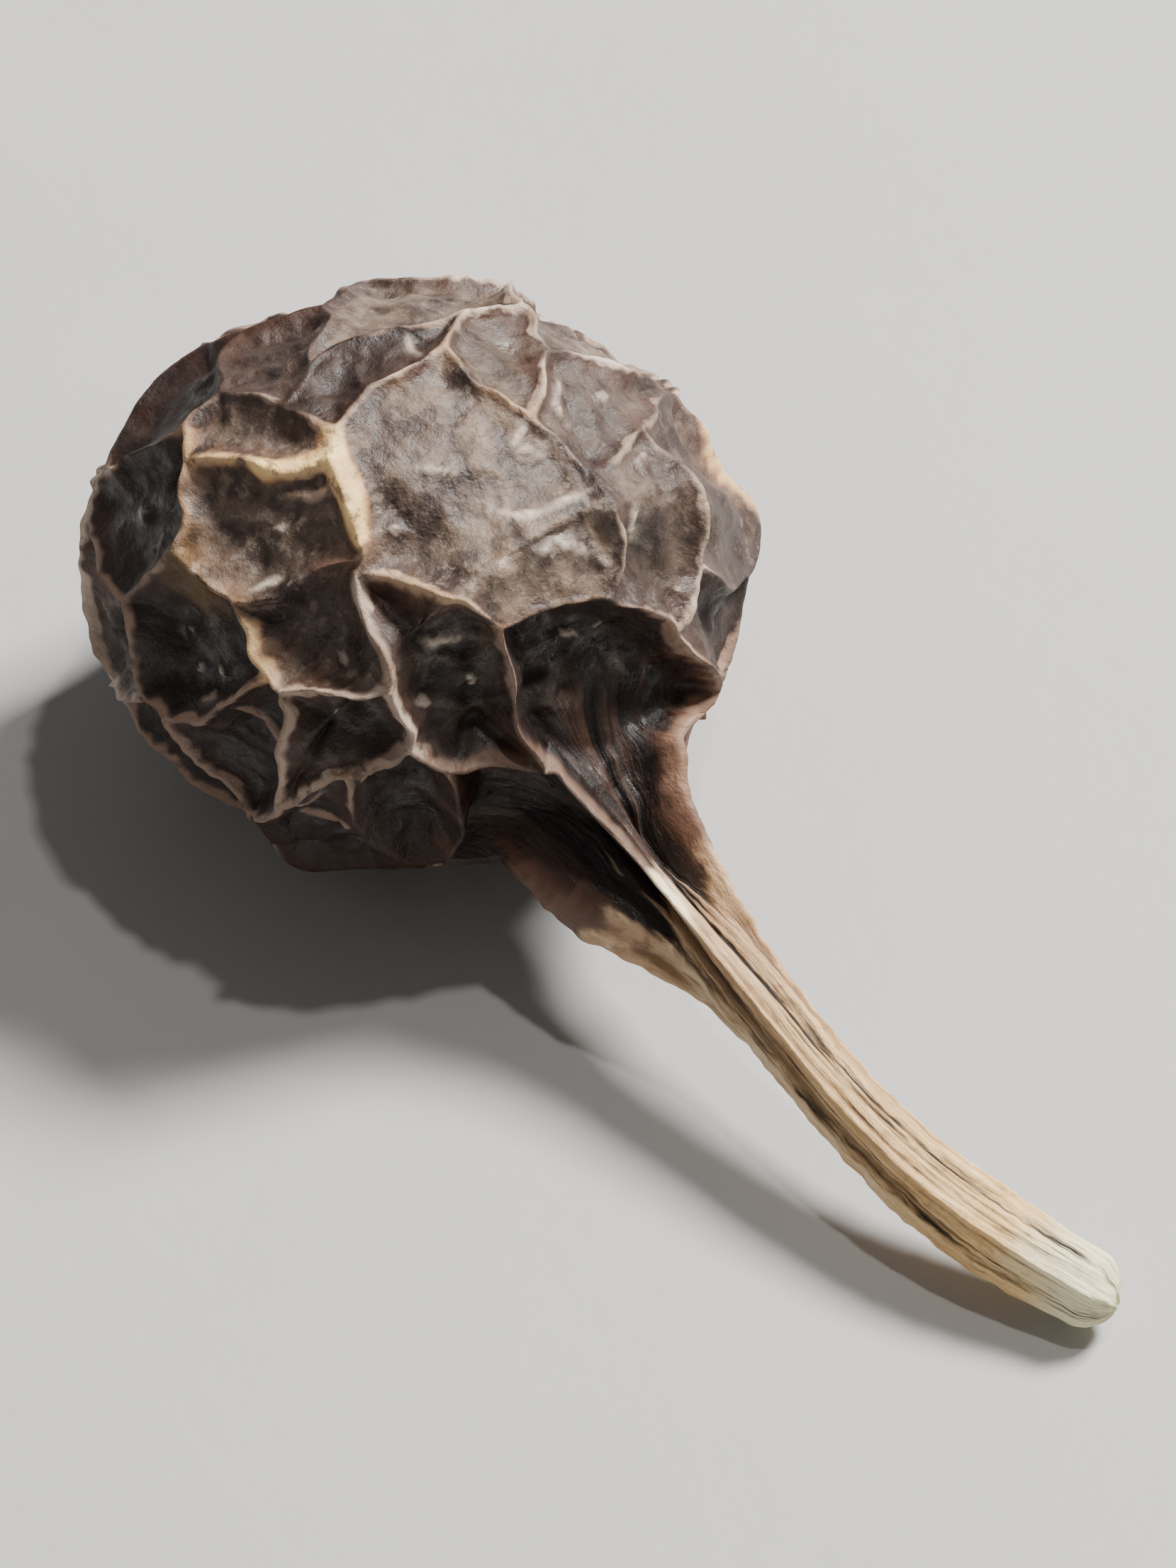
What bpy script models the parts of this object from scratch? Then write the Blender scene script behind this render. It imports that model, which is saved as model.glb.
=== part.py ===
"""Cubeb pepper: one dried berry with its stalk, lying on a flat surface.

Head, neck and stalk are one closed skin, as they grew. A base shape turned about the
berry's axis carries a relief: a net of crests over the head with sunken plates between
them, which runs out into strands along the neck and the stalk.

Lengths are in metres and +Z is up. +X runs along the stalk in plan, and the origin is
the middle of the flat spot that the head rests on.
"""

import itertools
import math

import bmesh
import bpy
import numpy as np
from mathutils import Vector
from mathutils.geometry import delaunay_2d_cdt
from mathutils.kdtree import KDTree

MM = 0.001

# Driving dimensions.
HEAD_RADIUS = 2.56 * MM
HEAD_FLATNESS = 0.065
BERRY_REACH = 8.90 * MM
STALK_RADIUS = 0.325 * MM
STALK_BULGE = 0.050 * MM
TIP_LENGTH = 0.36 * MM
NECK_FLARE = 0.42 * MM
NECK_FADE = 0.90 * MM
STALK_BEND = math.radians(23.0)
BEND_FROM = 5.30 * MM
BEND_TO = 8.50 * MM
REST_RADIUS = 0.78 * MM
LUMP_HEIGHT = 0.045 * MM
NUB_HEIGHT = 0.13 * MM
NUB_WIDTH = 0.10
CORD_HEIGHT = 0.065 * MM
CORD_WIDTH = 0.085 * MM
CREST_SLOPE = 0.36 * MM
NECK_NARROWING = 0.42
FURROW_AT = math.radians(163.0)
FURROW_WIDTH = math.radians(13.0)
FURROW_DEPTH = 0.075 * MM
FLAT_SIDE = (0.97, 0.15)
FLAT_SIDE_WIDTH = 0.35
FLAT_SIDE_DEPTH = 0.11 * MM
SHALLOW_RIPPLE = 0.006 * MM
DEEP_RIPPLE = 0.025 * MM

# The rest follows from them.
CENTRE_HEIGHT = (1.0 - 0.4 * HEAD_FLATNESS) * HEAD_RADIUS - REST_RADIUS ** 2 / (2.0 * HEAD_RADIUS)
DROOP = math.asin((CENTRE_HEIGHT - STALK_RADIUS) / (0.97 * BERRY_REACH))
NECK_START = 1.09 * HEAD_RADIUS
RING_AT = 1.24 * HEAD_RADIUS
PALE_STALK_FROM = 1.48 * HEAD_RADIUS

AXIS = np.array([math.cos(DROOP), 0.0, -math.sin(DROOP)])
SIDE = np.array([0.0, 1.0, 0.0])
OVER = np.array([math.sin(DROOP), 0.0, math.cos(DROOP)])
CENTRE = np.array([0.0, 0.0, CENTRE_HEIGHT])

# The front quarter, from where the plates below are laid out: 52.5 degrees round
# from -Y towards +X and 50 degrees up.
QUARTER = math.radians(52.5)
HEIGHT = math.radians(50.0)
TO_RIGHT = np.array([math.cos(QUARTER), math.sin(QUARTER), 0.0])
TO_TOP = np.array([-math.sin(QUARTER) * math.sin(HEIGHT), math.cos(QUARTER) * math.sin(HEIGHT),
                   math.cos(HEIGHT)])
TO_FRONT = np.array([math.sin(QUARTER) * math.cos(HEIGHT), -math.cos(QUARTER) * math.cos(HEIGHT),
                     math.sin(HEIGHT)])

# Plates of the front quarter: right and up of the head's middle in head radii, then
# the depth of the plate's floor under its crests in millimetres.
FRONT_PLATES = [
    (0.06, 0.27, 0.07),
    (0.50, 0.08, 0.07),
    (-0.17, 0.66, 0.09),
    (0.33, 0.68, 0.09),
    (0.65, 0.50, 0.08),
    (0.78, 0.15, 0.12),
    (0.12, -0.42, 0.32),
    (-0.38, 0.08, 0.20),
    (-0.32, -0.24, 0.24),
    (-0.20, -0.57, 0.30),
    (-0.41, 0.38, 0.12),
    (-0.48, 0.63, 0.14),
    (0.05, 0.96, 0.16),
    (-0.84, 0.12, 0.22),
    (-0.72, -0.28, 0.30),
    (-0.53, -0.62, 0.30),
    (0.96, 0.16, 0.15),
    (0.93, -0.25, 0.20),
    (0.08, -0.86, 0.30),
    (-0.22, -0.88, 0.28),
    (-0.76, 0.50, 0.18),
]

# The large plate has two middles, with no crest between them.
ONE_PLATE = {0, 1}

# Corners of those plates: right and up of the head's middle in head radii, then the
# three plates that meet there.
FRONT_CORNERS = [
    (-0.214, 0.404, {0, 2, 10}),
    (0.136, 0.687, {0, 2, 3}),
    (0.194, 0.817, {2, 3, 12}),
    (0.290, 0.530, {0, 1, 3}),
    (0.427, 0.448, {1, 3, 4}),
    (-0.215, 0.300, {0, 7, 10}),
    (-0.130, -0.010, {0, 7, 8}),
    (-0.165, -0.070, {0, 6, 8}),
    (0.117, -0.160, {0, 1, 6}),
    (0.330, -0.248, {1, 6, 21}),
    (0.621, -0.165, {1, 5, 21}),
    (0.830, -0.250, {5, 17, 21}),
    (0.880, -0.070, {5, 16, 17}),
    (0.880, -0.420, {17, 21, 25}),
    (0.621, 0.252, {1, 4, 5}),
    (0.757, 0.383, {4, 5, 16}),
    (0.466, 0.687, {3, 4, 34}),
    (0.370, 0.840, {3, 12, 34}),
    (-0.330, 0.622, {2, 11, 12}),
    (-0.388, 0.491, {2, 10, 11}),
    (-0.620, 0.510, {10, 11, 20}),
    (-0.680, 0.400, {10, 13, 20}),
    (-0.660, 0.280, {7, 10, 13}),
    (-0.699, 0.013, {7, 13, 14}),
    (-0.524, -0.161, {7, 8, 14}),
    (-0.420, -0.395, {8, 14, 15}),
    (-0.365, -0.435, {8, 9, 15}),
    (-0.019, -0.422, {6, 8, 9}),
    (0.039, -0.639, {6, 9, 18}),
    (0.180, -0.690, {6, 18, 22}),
    (0.430, -0.680, {6, 21, 22}),
    (-0.350, -0.748, {9, 15, 19}),
    (-0.155, -0.683, {9, 18, 19}),
]

# Strands of the neck, as angles round the axis from +Y towards +Z, and the hollows
# between them, with their depths in millimetres.
STRANDS = [45.0, 125.0, 205.0, 275.0, 345.0]
HOLLOWS = [(75.0, 0.42), (175.0, 0.40), (235.0, 0.34), (315.0, 0.36), (15.0, 0.12)]
HOLLOW_FROM_POLE = math.radians(23.0)

# Swellings of the neck, where the head runs on into its strands: angle round the axis
# and width in degrees, then reach, length and height in millimetres.
BUTTRESSES = [
    (27.0, 26.0, 2.60, 0.46, 0.25),
    (205.0, 30.0, 3.40, 0.90, 0.32),
    (114.0, 15.0, 2.98, 0.42, 0.13),
]

HIDDEN_PLATES = 24
HIDDEN_SEED = 11
SHALLOWEST = 0.12 * MM
DEEPEST = 0.32 * MM

# Spacing of the points that carry the relief.
CREST_STEP = 0.125 * MM
ROW_OFFSET = 0.110 * MM
FILL_STEP = 0.190 * MM
COLUMNS = 36
FIRST_COLUMN = math.radians(5.0)
STALK_STEP = 0.24 * MM

SKIN_COLOUR = (0.085, 0.058, 0.047, 1.0)
STALK_COLOUR = (0.40, 0.29, 0.21, 1.0)


def unit(vectors):
    """Vectors of length 1."""
    return vectors / np.linalg.norm(vectors, axis=-1, keepdims=True)


def ease(low, high, value):
    """0 up to low, 1 from high on, and a soft slope between them."""
    share = np.clip((value - low) / (high - low), 0.0, 1.0)
    return share * share * (3.0 - 2.0 * share)


def waves(directions, count, pace, seed):
    """Smooth random field over directions, with mean 0 and size about 1."""
    random = np.random.default_rng(seed)
    field = np.zeros(len(directions))
    for _ in range(count):
        along = pace * unit(random.normal(size=3))
        field += np.sin(directions @ along + random.uniform(0.0, 2.0 * math.pi))
    return field * math.sqrt(2.0 / count)


def from_front(right, up):
    """Direction from the head's middle, in the berry's frame (axis, side, over)."""
    level = math.hypot(right, up)
    shrink = min(1.0, 0.985 / max(level, 1e-9))
    right, up = right * shrink, up * shrink
    front = math.sqrt(1.0 - right * right - up * up)
    world = right * TO_RIGHT + up * TO_TOP + front * TO_FRONT
    return np.array([world @ AXIS, world @ SIDE, world @ OVER])


def round_axis(from_pole, angle):
    """Direction at an angle from the stalk's pole and an angle round the axis."""
    return np.array([math.cos(from_pole), math.sin(from_pole) * math.cos(angle),
                     math.sin(from_pole) * math.sin(angle)])


def stalk_radius(reach):
    """Radius of neck and stalk along the axis, before it joins the round head."""
    flare = NECK_FLARE * np.exp(-(reach - NECK_START) / NECK_FADE)
    bulge = STALK_BULGE * np.exp(-((reach - 7.5 * MM) / (0.9 * MM)) ** 2)
    waist = 0.03 * MM * np.exp(-((reach - 5.2 * MM) / (1.1 * MM)) ** 2)
    from_tip = np.clip((BERRY_REACH - reach) / TIP_LENGTH, 0.0, 1.0)
    cap = np.sqrt(1.0 - (1.0 - from_tip) ** 2.8)
    return (STALK_RADIUS + flare + bulge - waist) * cap * ease(0.2, 0.65, reach / HEAD_RADIUS)


def base_profile():
    """Turned outline from the head's apex to the stalk's tip: position, radius, normal."""
    angles = np.linspace(0.002, math.pi - 0.002, 5000)
    end = np.sin(np.linspace(0.0, 0.5 * math.pi, 400))
    reach = np.concatenate([
        -HEAD_RADIUS * np.cos(angles),
        np.linspace(HEAD_RADIUS, BERRY_REACH - TIP_LENGTH, 4000)[1:],
        BERRY_REACH - TIP_LENGTH * (1.0 - end[1:]),
    ])
    head = np.maximum(HEAD_RADIUS ** 2 - reach ** 2, 0.0)
    radius = (head ** 2 + stalk_radius(reach) ** 4) ** 0.25
    slope_x = np.gradient(reach)
    slope_r = np.gradient(radius)
    length = np.hypot(slope_x, slope_r)
    steps = np.hypot(np.diff(reach), np.diff(radius))
    growth = steps / (0.5 * (radius[1:] + radius[:-1]) + 1e-9)
    spread = math.log(math.tan(0.5 * angles[0])) + np.concatenate([[0.0], np.cumsum(growth)])
    return {"reach": reach, "radius": radius, "spread": spread,
            "out_x": -slope_r / length, "out_r": slope_x / length}


PROFILE = base_profile()


def spine_table():
    """Middle line of the berry, straight through the head and bent along the stalk."""
    reach = np.linspace(0.0, BERRY_REACH, 2000)
    heading = STALK_BEND * ease(BEND_FROM, BEND_TO, reach)
    step = reach[1] - reach[0]
    along = np.concatenate([[0.0], np.cumsum(np.cos(heading[:-1]) * step)])
    aside = np.concatenate([[0.0], np.cumsum(np.sin(heading[:-1]) * step)])
    return reach, heading, along, aside


SPINE = spine_table()


def to_plane(directions):
    """Directions laid out flat, seen from the apex: the head's girth is the unit circle."""
    return directions[..., 1:] / (1.0 - directions[..., :1])


def to_directions(plane):
    """Inverse of to_plane."""
    size = np.sum(plane * plane, axis=-1, keepdims=True)
    return np.concatenate([(size - 1.0) / (size + 1.0), 2.0 * plane / (size + 1.0)], axis=-1)


def on_profile(plane, name):
    """Value of one column of the profile under points of the plane."""
    spread = np.log(np.maximum(np.linalg.norm(plane, axis=-1), 1e-9))
    return np.interp(spread, PROFILE["spread"], PROFILE[name])


def plane_at(reach, angles):
    """Points of the plane at one reach along the axis."""
    start = np.searchsorted(PROFILE["reach"], -0.5 * HEAD_RADIUS)
    spread = np.interp(reach, PROFILE["reach"][start:], PROFILE["spread"][start:])
    return math.exp(spread) * np.stack([np.cos(angles), np.sin(angles)], axis=-1)


def place(reach, radius, angle):
    """Points in space from reach along the axis, radius and angle round it."""
    heading = np.interp(reach, SPINE[0], SPINE[1])
    beyond = np.minimum(reach, 0.0)
    along = np.interp(reach, SPINE[0], SPINE[2]) + beyond
    aside = np.interp(reach, SPINE[0], SPINE[3])
    across = radius * np.cos(angle)
    above = radius * np.sin(angle)
    axial = along - np.sin(heading) * across
    sideways = aside + np.cos(heading) * across
    return (CENTRE + axial[..., None] * AXIS + sideways[..., None] * SIDE
            + above[..., None] * OVER)


def base_points(plane):
    """Points of the turned base shape in space."""
    angle = np.arctan2(plane[..., 1], plane[..., 0])
    return place(on_profile(plane, "reach"), on_profile(plane, "radius"), angle)


def plate_centres():
    """Middle directions of all plates, and the depth of each plate's floor."""
    centres = [from_front(right, up) for right, up, _ in FRONT_PLATES]
    depths = [depth * MM for _, _, depth in FRONT_PLATES]
    for angle, depth in HOLLOWS:
        centres.append(round_axis(HOLLOW_FROM_POLE, math.radians(angle)))
        depths.append(depth * MM)
    centres.append(round_axis(0.0, 0.0))
    depths.append(0.0)
    random = np.random.default_rng(HIDDEN_SEED)
    for _ in range(HIDDEN_PLATES):
        tries = unit(random.normal(size=(400, 3)))
        nearest = (tries @ np.array(centres).T).max(axis=1)
        centres.append(tries[np.argmin(nearest)])
        depths.append(random.uniform(SHALLOWEST, DEEPEST))
    return np.array(centres), np.array(depths)


def plate_corners(centres):
    """Directions where three plates meet, with the three plates of each."""
    triples = np.array(list(itertools.combinations(range(len(centres)), 3)))
    first, second, third = (centres[triples[:, n]] for n in range(3))
    normals = unit(np.cross(second - first, third - first))
    level = np.sum(normals * first, axis=1)
    normals *= np.sign(level)[:, None]
    highest = (normals @ centres.T).max(axis=1)
    keep = highest < np.abs(level) + 1e-9
    return normals[keep], triples[keep]


def settle_corners(corners, owners):
    """Corners of the front quarter moved to their places in FRONT_CORNERS."""
    corners = corners.copy()
    for number, plates in enumerate(owners):
        for right, up, names in FRONT_CORNERS:
            if set(plates) == names:
                corners[number] = from_front(right, up)
    return corners


def crest_paths(centres):
    """Crests as pairs of end directions: between corners, and along the neck's strands."""
    corners, owners = plate_corners(centres)
    pole = len(FRONT_PLATES) + len(HOLLOWS)
    at_pole = np.any(owners == pole, axis=1)
    moved = settle_corners(corners, owners)
    moved[at_pole] = corners[at_pole]
    paths = []
    for a, b in itertools.combinations(range(len(corners)), 2):
        shared = set(owners[a]) & set(owners[b])
        if len(shared) == 2 and pole not in shared and shared != ONE_PLATE:
            paths.append((moved[a], moved[b]))
    ring = plane_at(RING_AT, np.radians(STRANDS))
    ends = to_directions(ring)
    for corner in moved[at_pole]:
        paths.append((corner, ends[np.argmax(ends @ corner)]))
    return paths


def crest_line(start, end, random):
    """Directions along one crest, evenly spaced on the skin, with a slight sway."""
    share = np.linspace(0.0, 1.0, 60)[:, None]
    line = unit(start * (1.0 - share) + end * share)
    sway = unit(np.cross(start, end))
    size = 0.08 * np.linalg.norm(end - start) * (1.0 - ease(0.90, 0.97, line[:, :1]))
    swing = random.uniform(-1.0, 1.0, size=2)
    bow = swing[0] * np.sin(math.pi * share) + 0.5 * swing[1] * np.sin(2.0 * math.pi * share)
    line = unit(line + sway * size * bow)
    points = base_points(to_plane(line))
    length = np.concatenate([[0.0], np.cumsum(np.linalg.norm(np.diff(points, axis=0), axis=1))])
    count = max(2, int(round(length[-1] / CREST_STEP)))
    stops = np.linspace(0.0, length[-1], count + 1)
    return unit(np.stack([np.interp(stops, length, line[:, n]) for n in range(3)], axis=1))


def crest_net(centres):
    """Points and links of all crests in the plane, corners shared."""
    random = np.random.default_rng(5)
    points = []
    links = []
    known = {}
    for start, end in crest_paths(centres):
        line = to_plane(crest_line(start, end, random))
        before = None
        for point in line:
            key = tuple(np.round(point, 5))
            if key not in known:
                known[key] = len(points)
                points.append(point)
            if before is not None and before != known[key]:
                links.append((before, known[key]))
            before = known[key]
    return np.array(points), links


class Spread:
    """Points on the skin that keep a distance from each other."""

    def __init__(self, plane):
        self.plane = [point for point in plane]
        self.space = base_points(np.array(plane))
        self.count = len(plane)
        self.space = np.concatenate([self.space, np.zeros((9000, 3))])

    def add(self, point, space, gap):
        """Take the point if none is nearer to it than the gap."""
        apart = self.space[:self.count] - space
        if np.einsum("ij,ij->i", apart, apart).min() < gap * gap:
            return
        self.plane.append(point)
        self.space[self.count] = space
        self.count += 1


def beside_crests(points, links):
    """Points in rows on both sides of each crest."""
    plane = np.array(points)
    ends = base_points(plane)
    rows = []
    for a, b in links:
        middle = 0.5 * (plane[a] + plane[b])
        along = plane[b] - plane[a]
        real = np.linalg.norm(ends[b] - ends[a])
        across = np.array([-along[1], along[0]]) / real * ROW_OFFSET
        rows.append(middle + across)
        rows.append(middle - across)
    return np.array(rows)


def skin_points():
    """All points of the head in the plane, with the crests' links among them."""
    centres, depths = plate_centres()
    crests, links = crest_net(centres)
    columns = FIRST_COLUMN + np.arange(COLUMNS) * 2.0 * math.pi / COLUMNS
    ring = plane_at(RING_AT, columns)
    limit = np.linalg.norm(ring[0])
    ring_at = [int(np.argmin(np.linalg.norm(crests - point, axis=1))) for point in ring]
    plane = list(crests)
    ring_ids = []
    for point, nearest in zip(ring, ring_at):
        if np.linalg.norm(crests[nearest] - point) < 1e-3 * limit:
            ring_ids.append(nearest)
        else:
            ring_ids.append(len(plane))
            plane.append(point)
    spread = Spread(np.array(plane))
    rows = beside_crests(crests, links)
    rows = rows[np.linalg.norm(rows, axis=1) < 0.97 * limit]
    for point, space in zip(rows, base_points(rows)):
        spread.add(point, space, 0.78 * ROW_OFFSET)
    random = np.random.default_rng(3)
    tries = to_plane(unit(random.normal(size=(26000, 3))))
    near = random.uniform(1.0, math.log(limit), size=9000)
    turn = random.uniform(0.0, 2.0 * math.pi, size=9000)
    necks = np.exp(near)[:, None] * np.stack([np.cos(turn), np.sin(turn)], axis=1)
    tries = np.concatenate([tries, necks])
    tries = tries[np.linalg.norm(tries, axis=1) < 0.96 * limit]
    gaps = np.clip(0.05 * MM + 0.15 * on_profile(tries, "radius"), 0.12 * MM, FILL_STEP)
    for point, space, gap in zip(tries, base_points(tries), gaps):
        spread.add(point, space, gap)
    return np.array(spread.plane), links, ring_ids, centres, depths


def triangulate(plane, links):
    """Triangles over the points, with the crests among their edges."""
    result = delaunay_2d_cdt([Vector(point) for point in plane], links, [], 0, 1e-7, True)
    coordinates, edges, faces, sources, edge_sources, _ = result
    points = []
    old = {}
    for number, (point, source) in enumerate(zip(coordinates, sources)):
        points.append(plane[source[0]] if source else np.array(point))
        for name in source:
            old[name] = number
    crests = {frozenset(edge) for edge, source in zip(edges, edge_sources) if source}
    return np.array(points), [tuple(face) for face in faces], crests, old


def plates_of(points, faces, crests, centres):
    """Number of the plate that each triangle belongs to."""
    beside = {}
    for number, face in enumerate(faces):
        for n in range(3):
            beside.setdefault(frozenset((face[n], face[n - 1])), []).append(number)
    middles = unit(to_directions(points)[np.array(faces)].mean(axis=1))
    plate = np.full(len(faces), -1)
    for name, centre in enumerate(centres):
        start = int(np.argmax(middles @ centre))
        if plate[start] >= 0:
            continue
        plate[start] = name
        open_ends = [start]
        while open_ends:
            face = faces[open_ends.pop()]
            for n in range(3):
                edge = frozenset((face[n], face[n - 1]))
                if edge in crests:
                    continue
                for other in beside[edge]:
                    if plate[other] < 0:
                        plate[other] = name
                        open_ends.append(other)
    return plate


def crest_distance(points, crests):
    """Distance on the skin from each point to the nearest crest."""
    stations = []
    for edge in sorted(tuple(sorted(edge)) for edge in crests):
        a, b = points[edge[0]], points[edge[1]]
        for share in np.linspace(0.0, 1.0, 6):
            stations.append(a * (1.0 - share) + b * share)
    space = base_points(np.array(stations))
    tree = KDTree(len(space))
    for number, point in enumerate(space):
        tree.insert(point, number)
    tree.balance()
    return np.array([tree.find(point)[2] for point in base_points(points)])


def head_swell(directions):
    """Slow rise and fall of the head: flattened and lumpy, with a nub at the apex."""
    world = (directions[:, :1] * AXIS + directions[:, 1:2] * SIDE + directions[:, 2:3] * OVER)
    oval = HEAD_FLATNESS * HEAD_RADIUS * ((world @ TO_RIGHT) ** 2 - (world @ TO_TOP) ** 2)
    lumps = LUMP_HEIGHT * waves(directions, 7, 3.2, 21)
    apart = np.linalg.norm(directions - from_front(*FLAT_SIDE), axis=1)
    flat = FLAT_SIDE_DEPTH * np.exp(-(apart / FLAT_SIDE_WIDTH) ** 2)
    neck = ease(0.80, 0.97, directions[:, 0])
    nub = NUB_HEIGHT * np.exp(-2.0 * (1.0 + directions[:, 0]) / NUB_WIDTH ** 2)
    return (oval + lumps - flat) * (1.0 - neck) + nub


def turn_from(plane, angle):
    """Angle round the axis from a given one, within half a turn either way."""
    turn = np.arctan2(plane[:, 1], plane[:, 0]) - angle
    return (turn + math.pi) % (2.0 * math.pi) - math.pi


def buttresses(plane, reach):
    """Swellings of the neck, where the head runs on into its strands."""
    height = np.zeros(len(reach))
    for angle, width, start, length, swell in BUTTRESSES:
        along = (reach - start * MM) / (length * MM)
        round_it = turn_from(plane, math.radians(angle)) / math.radians(width)
        height += swell * MM * np.exp(-along ** 2 - round_it ** 2)
    return height


def furrow(plane, reach):
    """Depth of the one long furrow that runs down the stalk."""
    along = ease(NECK_START, 1.5 * NECK_START, reach) * (1.0 - ease(7.0 * MM, 8.2 * MM, reach))
    return FURROW_DEPTH * along * np.exp(-(turn_from(plane, FURROW_AT) / FURROW_WIDTH) ** 2)


def relief(plane, reach, distance, depth):
    """Height of the skin over the base shape."""
    directions = to_directions(plane)
    slope = CREST_SLOPE * (1.0 - NECK_NARROWING * ease(0.80, 0.95, directions[:, 0]))
    share = np.clip(distance / slope, 0.0, 1.0)
    sunk = depth * (1.0 - (1.0 - share) ** 2)
    cord = CORD_HEIGHT * np.exp(-(distance / CORD_WIDTH) ** 2)
    mm = base_points(plane) / MM
    uneven = (SHALLOW_RIPPLE + (DEEP_RIPPLE - SHALLOW_RIPPLE) * np.clip(depth / DEEPEST, 0.0, 1.2))
    ripple = uneven * waves(mm, 26, 8.0, 33) * ease(0.03 * MM, 0.16 * MM, distance)
    down = -(directions[:, 0] * AXIS[2] + directions[:, 1] * SIDE[2] + directions[:, 2] * OVER[2])
    worn = ease(math.cos(0.62), math.cos(0.36), down)
    thin = 1.0 - 0.84 * ease(1.12 * NECK_START, 1.9 * NECK_START, reach)
    swell = head_swell(directions) + buttresses(plane, reach) - furrow(plane, reach)
    return swell + (cord - sunk + ripple) * thin * (1.0 - worn)


def raise_skin(plane, distance, depth):
    """Points of the finished skin over points of the plane."""
    reach = on_profile(plane, "reach")
    height = relief(plane, reach, distance, depth)
    angle = np.arctan2(plane[:, 1], plane[:, 0])
    radius = on_profile(plane, "radius") + height * on_profile(plane, "out_r")
    points = place(reach + height * on_profile(plane, "out_x"), radius, angle)
    points[:, 2] = np.maximum(points[:, 2], 0.0)
    return points


def stalk_rows():
    """Reaches of the rings of points from the neck to the tip."""
    body = BERRY_REACH - TIP_LENGTH
    count = int(round((body - RING_AT) / STALK_STEP))
    first = RING_AT + (body - RING_AT) * (np.arange(1, count + 1) / count) ** 1.08
    cap = body + TIP_LENGTH * np.sin(np.radians([24.0, 46.0, 66.0, 82.0]))
    return np.concatenate([first, cap])


def stalk_skin():
    """Rings of points along the stalk, with the tip's last point."""
    angles = FIRST_COLUMN + np.arange(COLUMNS) * 2.0 * math.pi / COLUMNS
    strands = np.radians(STRANDS)
    gap = np.abs((angles[:, None] - strands + math.pi) % (2.0 * math.pi) - math.pi).min(axis=1)
    hollow_angles = np.radians([angle for angle, _ in HOLLOWS])
    turn = np.abs((angles[:, None] - hollow_angles + math.pi) % (2.0 * math.pi) - math.pi)
    depth = np.array([depth for _, depth in HOLLOWS])[np.argmin(turn, axis=1)] * MM
    rings = []
    for reach in stalk_rows():
        plane = plane_at(reach, angles)
        radius = np.interp(reach, PROFILE["reach"][4000:], PROFILE["radius"][4000:])
        rings.append(raise_skin(plane, gap * radius, depth * min(1.0, 2.5 * radius / STALK_RADIUS)))
    tip = place(np.array([BERRY_REACH]), np.array([0.0]), np.array([0.0]))[0]
    return rings, tip


def skin():
    """Points and faces of the whole closed skin."""
    plane, links, ring_ids, centres, depths = skin_points()
    points, faces, crests, old = triangulate(plane, links)
    plate = plates_of(points, faces, crests, centres)
    distance = crest_distance(points, crests)
    depth = np.zeros(len(points))
    for face, name in zip(faces, plate):
        for corner in face:
            depth[corner] = max(depth[corner], depths[name])
    space = raise_skin(points, distance, depth)
    vertices = list(space)
    before = [old[name] for name in ring_ids]
    rings, tip = stalk_skin()
    for ring in rings:
        row = list(range(len(vertices), len(vertices) + COLUMNS))
        vertices.extend(ring)
        for n in range(COLUMNS):
            m = (n + 1) % COLUMNS
            faces.append((before[n], before[m], row[m], row[n]))
        before = row
    vertices.append(tip)
    last = len(vertices) - 1
    for n in range(COLUMNS):
        faces.append((before[n], before[(n + 1) % COLUMNS], last))
    return vertices, faces


def material(name, colour, roughness):
    """Plain opaque surface."""
    surface = bpy.data.materials.new(name)
    surface.use_nodes = True
    shader = surface.node_tree.nodes["Principled BSDF"]
    shader.inputs["Base Color"].default_value = colour
    shader.inputs["Roughness"].default_value = roughness
    shader.inputs["Metallic"].default_value = 0.0
    surface.diffuse_color = colour
    return surface


def pale_from(point):
    """True on the stalk, beyond the dark neck."""
    return (np.array(point) - CENTRE) @ AXIS > PALE_STALK_FROM


def build():
    """The berry as one object."""
    vertices, faces = skin()
    form = bmesh.new()
    corners = [form.verts.new(point) for point in vertices]
    for face in faces:
        made = form.faces.new([corners[n] for n in face])
        made.material_index = int(pale_from(made.calc_center_median()))
    bmesh.ops.triangulate(form, faces=form.faces[:])
    bmesh.ops.recalc_face_normals(form, faces=form.faces[:])
    mesh = bpy.data.meshes.new("cubeb_pepper")
    form.to_mesh(mesh)
    form.free()
    mesh.materials.append(material("dried skin", SKIN_COLOUR, 0.72))
    mesh.materials.append(material("dry stalk", STALK_COLOUR, 0.80))
    mesh.shade_smooth()
    mesh.set_sharp_from_angle(angle=math.radians(50.0))
    berry = bpy.data.objects.new("cubeb_pepper", mesh)
    bpy.context.scene.collection.objects.link(berry)
    return berry


for leftover in list(bpy.data.objects):
    bpy.data.objects.remove(leftover, do_unlink=True)

build()
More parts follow.
